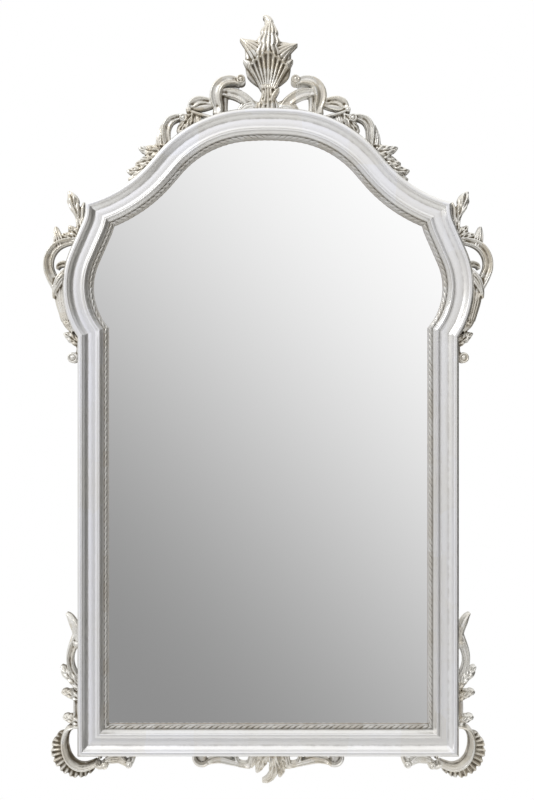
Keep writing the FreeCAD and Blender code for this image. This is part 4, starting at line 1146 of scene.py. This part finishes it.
    def mark_hollows(self, thing: bpy.types.Object) -> None:
        """Smooth the skin once, keep its back flat, and store each point's umber and painted shade.

        A point takes umber where the mean of its surroundings lies in front of it, on a fine and on a wide scale. It
        takes painted shade where higher relief stands close by, in the last few millimetres before the moulding, and a
        little wherever the relief is low.
        """
        mesh, wash_and_shade = thing.data, self.wash_and_shade
        spots = MeshMaker.read(mesh.vertices, "co", 3).astype(float)
        edges = MeshMaker.read(mesh.edges, "vertices", 2, np.int32)
        spots = spots * (1 - self.softening) + self.neighbour_mean(spots, edges) * self.softening
        spots[:, 1] = np.minimum(spots[:, 1], self.bench.back)
        mesh.vertices.foreach_set("co", spots.astype(np.float32).reshape(-1))
        mesh.update()
        normals = MeshMaker.read(mesh.vertex_normals, "vector", 3)
        soft = spots
        depths = []
        for rounds in (5, 20):
            for _ in range(rounds):
                soft = self.neighbour_mean(soft, edges)
            depths.append(((soft - spots) * normals).sum(axis=1) / self.voxel)
        fine = np.clip(depths[0] / wash_and_shade.fine_depth, 0.0, 1.0)
        wide = np.clip(depths[1] / wash_and_shade.wide_depth, 0.0, 1.0)
        flat = spots[:, [0, 2]] - np.array([0.0, self.bench.foot])
        joint = np.clip(1.0 + self.line.depth_inside(flat) / wash_and_shade.joint_reach, 0.0, 1.0)
        height = self.bench.back - spots[:, 1]
        low = np.clip((wash_and_shade.low_below - height) / wash_and_shade.low_fade, 0.0, 1.0)
        # umber in fine and wide hollows; painted shade beside higher relief, at the joint and on low relief
        hollow = (wash_and_shade.fine * fine + wash_and_shade.wide * wide + wash_and_shade.shade * self.overshadow(spots) + wash_and_shade.joint * joint
                  + wash_and_shade.low * low - wash_and_shade.hand)
        for shell in self.shells:
            hollow += shell.stain * shell.covers((flat - np.array(self.anchor)) / self.span)
        MeshMaker.write(thing, BARE, np.clip(1.0 - (height - self.bare_line) / self.bare_fade, 0.0, 1.0))
        MeshMaker.write(thing, HOLLOW, np.clip(hollow * self.umber, 0.0, 1.0))

    def flipped(self) -> Carving:
        """The same casting for the other side of the mirror."""
        return replace(self, anchor=(-self.anchor[0], self.anchor[1]),
                       strokes=tuple(stroke.flipped() for stroke in self.strokes),
                       eyes=tuple((-a, u, r, h) for a, u, r, h in self.eyes),
                       shells=tuple(shell.flipped() for shell in self.shells))


@dataclass(frozen=True)
class Ornament:
    """All the castings of the mirror; two on the right get a lighter share of umber and painted shade, a painted light
    that brightens them.
    """

    line: SightLine
    bench: Bench
    span: float = 0.225
    fine_voxel: float = 0.0011
    painted_lighter: tuple[str, ...] = ("crest_scroll_right", "foot_scroll_right")
    painted_light_share: float = 0.5

    def carving(self, anchor: np.ndarray, strokes: list[Stroke], **more: object) -> Carving:
        """A casting of strokes round an anchor on the moulding."""
        return Carving(self.line, self.bench, (float(anchor[0]), float(anchor[1])), self.span, tuple(strokes), **more)

    def palmette(self) -> Carving:
        """Crest palmette: a tall centre leaf, two side leaves and a fluted shell on a stem."""
        strokes = [
            Stroke(((0, -30, 125, 700), (0, 40, 118, 740), (0, 100, 82, 800), (0, 170, 68, 840), (0, 240, 88, 840),
                    (0, 300, 130, 760)), Cut.BLADE),
            Stroke(((0, 215, 70, 550), (0, 255, 140, 600), (0, 305, 200, 620), (0, 370, 222, 620),
                    (0, 470, 228, 620), (0, 570, 232, 620), (0, 640, 230, 600), (0, 672, 200, 560),
                    (0, 682, 150, 500)), Cut.BLADE, flutes=11),
            Stroke(((0, 500, 130, 800), (0, 610, 118, 900), (6, 700, 107, 880), (12, 780, 82, 820),
                    (14, 840, 56, 740), (4, 885, 42, 680), (-22, 918, 28, 640), (-50, 930, 13, 600)),
                   Cut.BLADE, 4.0),
            Stroke(((-40, 500, 130, 640), (-120, 592, 100, 740), (-190, 645, 62, 720), (-240, 678, 32, 640),
                    (-278, 708, 12, 540)), Cut.BLADE),
            Stroke(((40, 480, 130, 640), (120, 566, 100, 740), (190, 606, 62, 720), (246, 632, 32, 640),
                    (292, 655, 12, 540)), Cut.BLADE),
            Stroke(((30, 70, 30, 840), (50, 125, 28, 920), (82, 170, 22, 940), (108, 200, 10, 860)), Cut.REED),
            Stroke(((-30, 30, 30, 800), (-60, 70, 22, 840), (-75, 100, 10, 780)), Cut.REED),
        ]
        lobe = Stroke(((150, 400, 50, 660), (205, 455, 36, 720), (243, 492, 14, 640)), Cut.REED)
        strokes += [lobe, lobe.flipped()]
        fan = Shell((0.0, 0.07), 0.13, (-31.0, 31.0), (0.4, 0.43, 0.465, 0.52, 0.465, 0.43, 0.4), (0.86, 0.84),
                    9, 0.015, 0.2, 0.2)
        return self.carving(self.line.crown_anchor(), strokes, shells=(fan,), voxel=self.fine_voxel)

    def crest_scroll(self) -> Carving:
        """C-scroll beside the palmette, with its inner leaf scroll."""
        strokes = [
            Stroke(((505, -50, 50, 740), (500, 20, 52, 800), (516, 75, 58, 860), (522, 130, 64, 920),
                    (512, 182, 65, 960), (482, 234, 61, 980), (436, 268, 55, 1000), (380, 280, 50, 1000),
                    (325, 274, 42, 980), (280, 250, 28, 900)), Cut.BAND, side=-1),
            Stroke(((475, 160, 30, 800), (420, 165, 44, 840), (340, 155, 52, 860), (260, 120, 54, 840),
                    (195, 70, 54, 780), (150, 10, 56, 700)), Cut.BAND),
            Stroke(((290, -40, 40, 600), (235, 10, 62, 660), (170, 30, 66, 680), (110, 10, 66, 660)), Cut.BLADE),
            Stroke(((430, 120, 30, 500), (430, 50, 26, 440), (436, -40, 34, 420)), Cut.REED),
        ]
        return self.carving(self.line.crown_anchor(), strokes, eyes=((272, 284, 46, 1000),),
                            voxel=self.fine_voxel)

    def spray(self) -> Carving:
        """Shoulder spray: a wing scroll, a C-scroll and a run of leaves down the slope."""
        strokes = [
            Stroke(((-535, 516, 30, 740), (-465, 534, 38, 820), (-400, 532, 46, 880), (-350, 505, 50, 880),
                    (-310, 462, 30, 820)), Cut.BAND, side=-1),
            Stroke(((-330, 455, 20, 660), (-400, 462, 36, 660), (-470, 474, 34, 640), (-540, 488, 24, 600)),
                   Cut.REED),
            Stroke(((-310, 430, 20, 740), (-380, 402, 18, 780), (-450, 385, 18, 760), (-530, 360, 20, 700),
                    (-600, 320, 20, 660)), Cut.REED),
            Stroke(((-345, 400, 20, 680), (-310, 360, 50, 780), (-275, 310, 55, 800), (-235, 260, 45, 740),
                    (-200, 210, 30, 660)), Cut.LEAF, 3.0),
            Stroke(((-375, 405, 18, 600), (-390, 360, 36, 660), (-385, 300, 40, 660), (-350, 240, 40, 600)),
                   Cut.LEAF),
            Stroke(((-250, 366, 30, 860), (-180, 360, 36, 920), (-118, 330, 44, 940), (-82, 272, 48, 920),
                    (-73, 200, 48, 880), (-80, 130, 46, 800), (-90, 30, 45, 720)), Cut.BAND, side=-1),
            Stroke(((-20, 80, 50, 740), (-14, 160, 36, 760), (-24, 230, 24, 700), (-36, 290, 11, 600)), Cut.LEAF),
            Stroke(((-90, 120, 60, 600), (-10, 20, 85, 660), (80, -90, 85, 660), (170, -200, 65, 600),
                    (260, -300, 30, 500)), Cut.LEAF, 5.0),
            Stroke(((-10, 20, 80, 740), (70, 26, 64, 800), (135, 42, 42, 740), (176, 56, 24, 660),
                    (200, 64, 10, 580)), Cut.LEAF, 3.0),
            Stroke(((50, -60, 70, 740), (130, -76, 55, 760), (190, -94, 32, 700), (230, -103, 12, 600)),
                   Cut.LEAF, 3.0),
            Stroke(((100, -120, 70, 720), (180, -160, 62, 740), (250, -172, 44, 680), (292, -170, 26, 600),
                    (318, -164, 11, 540)), Cut.LEAF, 3.0),
            Stroke(((170, -200, 55, 660), (235, -236, 40, 640), (280, -250, 24, 580), (305, -250, 12, 500)),
                   Cut.LEAF),
            Stroke(((200, -240, 45, 560), (260, -290, 28, 520), (300, -325, 12, 460)), Cut.LEAF),
        ]
        return self.carving(self.line.spray_anchor(), strokes, relief=0.042,
                            eyes=((-252, 352, 42, 940), (-302, 437, 28, 860)))

    def acanthus(self) -> Carving:
        """Side acanthus: a big C of leaf round the lobe, with tips above and a curl inside."""
        strokes = [
            Stroke(((-170, 520, 45, 660), (-155, 650, 30, 720), (-135, 745, 36, 760), (-108, 810, 55, 800),
                    (-92, 870, 56, 780), (-75, 915, 38, 700), (-50, 955, 13, 600)), Cut.LEAF, 3.0),
            Stroke(((-180, 560, 30, 600), (-182, 700, 26, 620), (-190, 790, 22, 600), (-205, 850, 10, 520)),
                   Cut.REED),
            Stroke(((-190, 480, 50, 780), (-130, 530, 55, 860), (-85, 575, 40, 860), (-60, 610, 14, 740)),
                   Cut.LEAF, 3.0),
            Stroke(((-150, 460, 50, 780), (-80, 500, 50, 840), (-20, 515, 30, 800), (12, 520, 12, 700)),
                   Cut.LEAF, 3.0),
            Stroke(((30, 400, 60, 800), (50, 480, 50, 840), (66, 545, 34, 760), (75, 605, 12, 640)), Cut.LEAF),
            Stroke(((-170, 468, 34, 800), (-82, 462, 36, 860), (-10, 447, 40, 920), (62, 412, 43, 960),
                    (118, 350, 44, 1000), (148, 272, 45, 1000), (148, 190, 48, 1000), (118, 105, 52, 980),
                    (78, 20, 50, 940), (50, -60, 36, 880), (40, -130, 14, 780)), Cut.BAND, side=-1),
            Stroke(((-90, 170, 40, 940), (-30, 125, 52, 1040), (25, 70, 50, 1060), (62, 0, 36, 1020),
                    (84, -60, 22, 940), (92, -115, 9, 860)), Cut.LEAF),
            Stroke(((-20, 120, 70, 660), (0, 20, 85, 740), (0, -120, 84, 780), (-20, -230, 74, 780),
                    (-42, -320, 64, 760), (-72, -390, 50, 740), (-105, -440, 28, 680)), Cut.BLADE, flutes=6),
            Stroke(((-85, 120, 32, 860), (-85, 185, 34, 940), (-50, 222, 33, 960), (0, 232, 30, 940),
                    (45, 212, 22, 880), (62, 178, 10, 800)), Cut.BAND, side=-1),
            Stroke(((-140, -350, 40, 700), (-100, -362, 40, 840), (-50, -362, 30, 900), (-8, -352, 12, 800)),
                   Cut.LEAF, 2.0),
            Stroke(((-150, -340, 50, 400), (-120, -430, 55, 360), (-150, -540, 50, 400)), Cut.REED),
            Stroke(((-160, -570, 36, 560), (-110, -530, 48, 700), (-55, -488, 42, 760), (-18, -468, 22, 680),
                    (0, -460, 10, 600)), Cut.LEAF, 3.0),
            Stroke(((-145, -500, 30, 500), (-145, -620, 22, 500), (-135, -700, 26, 500)), Cut.REED),
        ]
        return self.carving(self.line.lobe_anchor(), strokes, eyes=((-97, -704, 54, 800),))

    def foot(self) -> Carving:
        """Foot scroll: a leafy upright, the big scalloped scroll and its tail under the rail."""
        strokes = [
            Stroke(((0, 1140, 50, 640), (30, 1250, 45, 700), (62, 1320, 40, 700), (98, 1380, 26, 620),
                    (126, 1410, 10, 540)), Cut.BLADE),
            Stroke(((10, 1240, 40, 600), (30, 1150, 50, 720), (66, 1060, 44, 780), (86, 970, 36, 820),
                    (80, 890, 34, 820), (50, 800, 40, 780), (0, 710, 50, 700)), Cut.BAND, side=-1),
            Stroke(((-20, 1080, 40, 620), (20, 1100, 30, 720), (50, 1130, 12, 700)), Cut.LEAF),
            Stroke(((-20, 670, 60, 700), (45, 745, 52, 800), (105, 810, 42, 800), (152, 855, 28, 720),
                    (180, 882, 12, 600)), Cut.LEAF, 4.0),
            Stroke(((20, 720, 40, 620), (90, 760, 30, 680), (150, 800, 20, 640), (172, 830, 10, 560)), Cut.REED),
            Stroke(((-10, 560, 40, 700), (50, 592, 44, 780), (105, 612, 36, 760), (148, 622, 26, 680),
                    (172, 626, 12, 580)), Cut.LEAF, 3.0),
            Stroke(((-10, 660, 40, 600), (18, 520, 36, 660), (18, 400, 36, 660), (0, 300, 45, 660)), Cut.BAND),
            Stroke(((-10, 320, 45, 720), (60, 350, 40, 800), (110, 366, 34, 760), (142, 374, 22, 680),
                    (158, 378, 10, 600)), Cut.LEAF, 3.0),
            Stroke(((-35, 280, 28, 900), (45, 277, 30, 980), (100, 250, 32, 1000), (132, 190, 34, 1000),
                    (142, 110, 36, 1000), (130, 30, 38, 1000), (92, -52, 38, 1000), (30, -108, 38, 1000),
                    (-50, -128, 38, 980), (-120, -112, 36, 920), (-185, -80, 30, 840)), Cut.LIP, side=-1),
            Stroke(((-170, -90, 30, 800), (-220, -115, 30, 820), (-260, -100, 30, 800)), Cut.REED),
            Stroke(((-270, -60, 30, 700), (-330, -45, 45, 700), (-400, -45, 42, 700), (-455, -75, 28, 740),
                    (-500, -100, 24, 760)), Cut.LEAF),
            Stroke(((-200, 30, 22, 450), (-210, -50, 20, 450)), Cut.REED),
            Stroke(((-530, -80, 22, 660), (-548, -30, 20, 600), (-550, 30, 20, 500)), Cut.REED),
        ]
        ruffle = Shell((-0.05, 0.09), 0.2, (56.0, 208.0), (0.25, 0.3, 0.325, 0.335, 0.335, 0.33, 0.3, 0.25),
                       (0.58, 0.42), 8, 0.04, 0.04, 0.2, 2, 0.3)
        return self.carving(self.line.foot_corner(self.line.width), strokes, umber=0.85, shells=(ruffle,),
                            eyes=((-262, -100, 38, 820), (-505, -88, 38, 840)))

    def apron(self) -> Carving:
        """Apron under the bottom rail: a hanging acanthus and two long scrolls."""
        strokes = [
            Stroke(((20, 50, 100, 660), (50, -30, 62, 860), (62, -110, 52, 920), (46, -185, 44, 900),
                    (4, -245, 30, 800), (-60, -268, 12, 660)), Cut.LEAF, 3.0),
            Stroke(((-30, 20, 70, 660), (-75, -80, 58, 760), (-96, -140, 36, 720), (-118, -180, 12, 600)),
                   Cut.LEAF, 3.0),
            Stroke(((100, 20, 60, 640), (128, -80, 52, 720), (132, -160, 38, 700), (112, -225, 14, 600)),
                   Cut.LEAF, 3.0),
            Stroke(((160, -10, 50, 620), (192, -90, 34, 680), (208, -140, 12, 580)), Cut.LEAF),
            Stroke(((-130, 0, 50, 620), (-158, -80, 36, 680), (-170, -135, 12, 580)), Cut.LEAF),
        ]
        sided = [
            Stroke(((180, -110, 36, 720), (250, -106, 26, 740), (320, -88, 28, 760), (400, -68, 34, 760),
                    (480, -50, 38, 760), (550, -60, 30, 760), (610, -80, 22, 760)), Cut.BAND),
            Stroke(((330, 30, 20, 550), (325, -30, 18, 600), (305, -80, 20, 660)), Cut.REED),
            Stroke(((170, 30, 25, 550), (178, -40, 22, 620), (190, -90, 24, 680)), Cut.REED),
            Stroke(((600, -78, 20, 780), (650, -100, 22, 800), (705, -88, 22, 800), (738, -45, 20, 760),
                    (735, 20, 18, 660)), Cut.REED),
            Stroke(((670, 30, 60, 420), (670, -70, 55, 420)), Cut.REED),
            Stroke(((400, 30, 60, 450), (410, -40, 50, 500)), Cut.REED),
        ]
        strokes += sided + [stroke.flipped() for stroke in sided]
        # painted light: the apron's umber and painted shade are kept light, so that it reads brighter above the dim
        # floor
        return self.carving(np.zeros(2), strokes, voxel=self.fine_voxel, umber=0.35)

    def build(self) -> None:
        """Carve every casting and put it in its solid's place."""
        whole = {"crest_palmette": self.palmette(), "apron_casting": self.apron()}
        for name, casting in {"crest_scroll": self.crest_scroll(), "shoulder_spray": self.spray(),
                              "side_acanthus": self.acanthus(), "foot_scroll": self.foot()}.items():
            whole |= {name + "_right": casting, name + "_left": casting.flipped()}
        for name, casting in whole.items():
            # painted light: these castings get a lighter share of umber and painted shade, so that they read brighter
            if name in self.painted_lighter:
                casting = replace(casting, umber=casting.umber * self.painted_light_share)
            settle(casting.melt(name + "_carved"), name, Coat.CASTING, "silvered_casting")


class Fixings:
    """The glass and what holds it, which keep their solids and get their finishes."""

    COATS: ClassVar[dict[str, Coat]] = {
        "mirror_glass": Coat.GLASS, "back_panel": Coat.BOARD, "glazing_tape": Coat.FELT,
        "setting_blocks": Coat.RUBBER, "wall_bumpers": Coat.RUBBER, "mitre_tongues": Coat.WOOD}

    @classmethod
    def dress_all(cls, nodes: dict[str, bpy.types.Object]) -> None:
        """Give each solid that stays its finish; whatever is not named is plated steel."""
        for name, thing in nodes.items():
            cls.COATS.get(name, Coat.STEEL).dress(thing)


@dataclass(frozen=True)
class Studio:
    """Room, lamp and the camera at the photograph's angle.

    The colours are those of the world: the front at its upper left and its lower right, the rest at
    eye level and overhead, and the right in front of the mirror's plane and behind it. Shown is the
    grey that the glass mirrors at its lower left and its upper right, and cone that patch's spread.
    """

    bench: Bench
    frame_height: float = 1.8
    distance: float = 2.76
    aim: Pair = (-0.0027, 0.7965)
    cone: Pair = (0.3, 0.38)
    shown: Pair = (0.29, 1.07)
    front: Triple = (1.08, 1.09, 1.2)
    front_low: Triple = (0.66, 0.65, 0.64)
    level: Triple = (0.71, 0.705, 0.69)
    bright: Triple = (1.2, 1.2, 1.19)
    dim: Triple = (0.06, 0.057, 0.045)
    deep: Triple = (0.03, 0.026, 0.014)
    lamp_place: Triple = (-2.4, -2.0, 3.0)
    lamp_aim: Triple = (0.0, 0.0, 0.85)
    lamp_size: float = 1.0
    lamp_power: float = 30.0
    floor_drop: float = 0.75
    floor_glow: float = 0.45
    floor_fade: Pair = (1.0, 2.0)

    def camera(self) -> None:
        """Level camera in front, its view as high as the photograph's."""
        data = bpy.data.cameras.new("camera")
        data.sensor_fit = "VERTICAL"
        data.angle = 2 * math.atan(self.frame_height / 2 / self.distance)
        thing = add_object("camera", data)
        thing.location = (self.aim[0], -self.distance, self.bench.foot + self.aim[1])
        thing.rotation_euler = (math.pi / 2, 0.0, 0.0)
        bpy.context.scene.camera = thing

    def lamp(self) -> None:
        """Square soft lamp up on the left, turned to the middle of the mirror."""
        data = bpy.data.lights.new("key", "AREA")
        data.size = self.lamp_size
        data.energy = self.lamp_power
        thing = add_object("key", data)
        thing.location = self.lamp_place
        across, ahead, up = np.array(self.lamp_place) - np.array(self.lamp_aim)
        thing.rotation_euler = (math.atan2(math.hypot(across, ahead), up), 0.0, math.atan2(across, -ahead))

    def room(self) -> None:
        """World that the mirror and the silver reflect; the camera sees plain white.

        Straight ahead lies what the glass shows: a shade that lightens from the lower left to the
        upper right. Round it stands a bright, faintly cool front. To the sides the room shades from
        a bright ceiling and left to a dim, warm right, which is darkest behind the mirror's plane.
        """
        world = bpy.data.worlds.new("room")
        bpy.context.scene.world = world
        nodes = Nodes.fresh(world)
        split = nodes.add("ShaderNodeSeparateXYZ", {}, {0: nodes.add("ShaderNodeTexCoord").outputs["Generated"]})
        across, ahead, up = split.outputs
        high = nodes.blend(nodes.ramp(up, -0.15, 0.85), self.level, self.bright)
        lit = nodes.blend(nodes.ramp(across, -0.3, -0.85, 0.0, 0.15), high, self.bright)
        shade = nodes.blend(nodes.ramp(ahead, -0.45, 0.05), self.dim, self.deep)
        right = nodes.math("MULTIPLY", nodes.ramp(across, 0.5, 0.86), nodes.ramp(up, -0.75, -0.35))
        slant = nodes.math("MULTIPLY_ADD", across, -0.75, nodes.math("MULTIPLY", up, 0.65))
        face = nodes.blend(nodes.ramp(slant, -0.32, 0.32), self.front_low, self.front)
        around = nodes.blend(nodes.ramp(ahead, -0.68, -0.92), nodes.blend(right, lit, shade), face)
        out = nodes.math("SQRT", nodes.math("MULTIPLY_ADD", across, across, nodes.math("MULTIPLY", up, up)))
        cone = nodes.math("MULTIPLY", nodes.ramp(out, *self.cone, 1.0, 0.0), nodes.ramp(ahead, -0.2, -0.4))
        shown = nodes.ramp(nodes.math("ADD", across, up), -0.36, 0.36, *self.shown)
        grey = nodes.add("ShaderNodeCombineXYZ", {}, {0: shown, 1: shown, 2: shown}).outputs[0]
        seen = nodes.add("ShaderNodeLightPath").outputs["Is Camera Ray"]
        colour = nodes.blend(seen, nodes.blend(cone, around, grey), WHITE)
        back = nodes.add("ShaderNodeBackground", {}, {"Color": colour, "Strength": 1.0})
        nodes.add("ShaderNodeOutputWorld", {}, {"Surface": back.outputs[0]})

    def floor(self) -> None:
        """Plain pale floor below the mirror: white to the camera but for its shading, with a faded edge."""
        low = self.bench.foot - self.floor_drop
        points = np.array([[-2.4, -2.3, low], [2.4, -2.3, low], [2.4, 1.8, low], [-2.4, 1.8, low]])
        thing = MeshMaker.build("floor", points, [[0, 1, 2, 3]], False)
        material = bpy.data.materials.new("pale_floor")
        nodes = Nodes.fresh(material)
        seen = nodes.add("ShaderNodeLightPath").outputs["Is Camera Ray"]
        reach = nodes.add("ShaderNodeVectorMath", {"operation": "LENGTH"}, {0: nodes.place()}).outputs["Value"]
        shader = nodes.add("ShaderNodeBsdfPrincipled", {}, {
            "Base Color": (0.85, 0.85, 0.84), "Roughness": 0.8, "Emission Color": WHITE,
            "Emission Strength": nodes.math("MULTIPLY", seen, self.floor_glow),
            "Alpha": nodes.ramp(reach, *self.floor_fade, 1.0, 0.0)})
        nodes.add("ShaderNodeOutputMaterial", {}, {"Surface": shader.outputs[0]})
        thing.data.materials.append(material)

    def build(self) -> None:
        """Set the camera, the room, the floor and the lamp."""
        self.camera()
        self.room()
        self.floor()
        self.lamp()
        bpy.context.scene.view_settings.view_transform = "Standard"


def main() -> None:
    """Load the solids, dress them, and build the pieces that stand for them."""
    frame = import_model()
    bench = Bench(float(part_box("stile_right")[1].y), float(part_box("bottom_rail")[0].z))
    line = SightLine()
    Studio(bench).build()
    Fixings.dress_all(frame["nodes"])
    Moulding(line, bench).build()
    RopeSlip(line, bench).build()
    Ornament(line, bench).build()


if __name__ == "__main__":
    logging.basicConfig(level=logging.INFO, format="%(name)s: %(message)s")
    main()
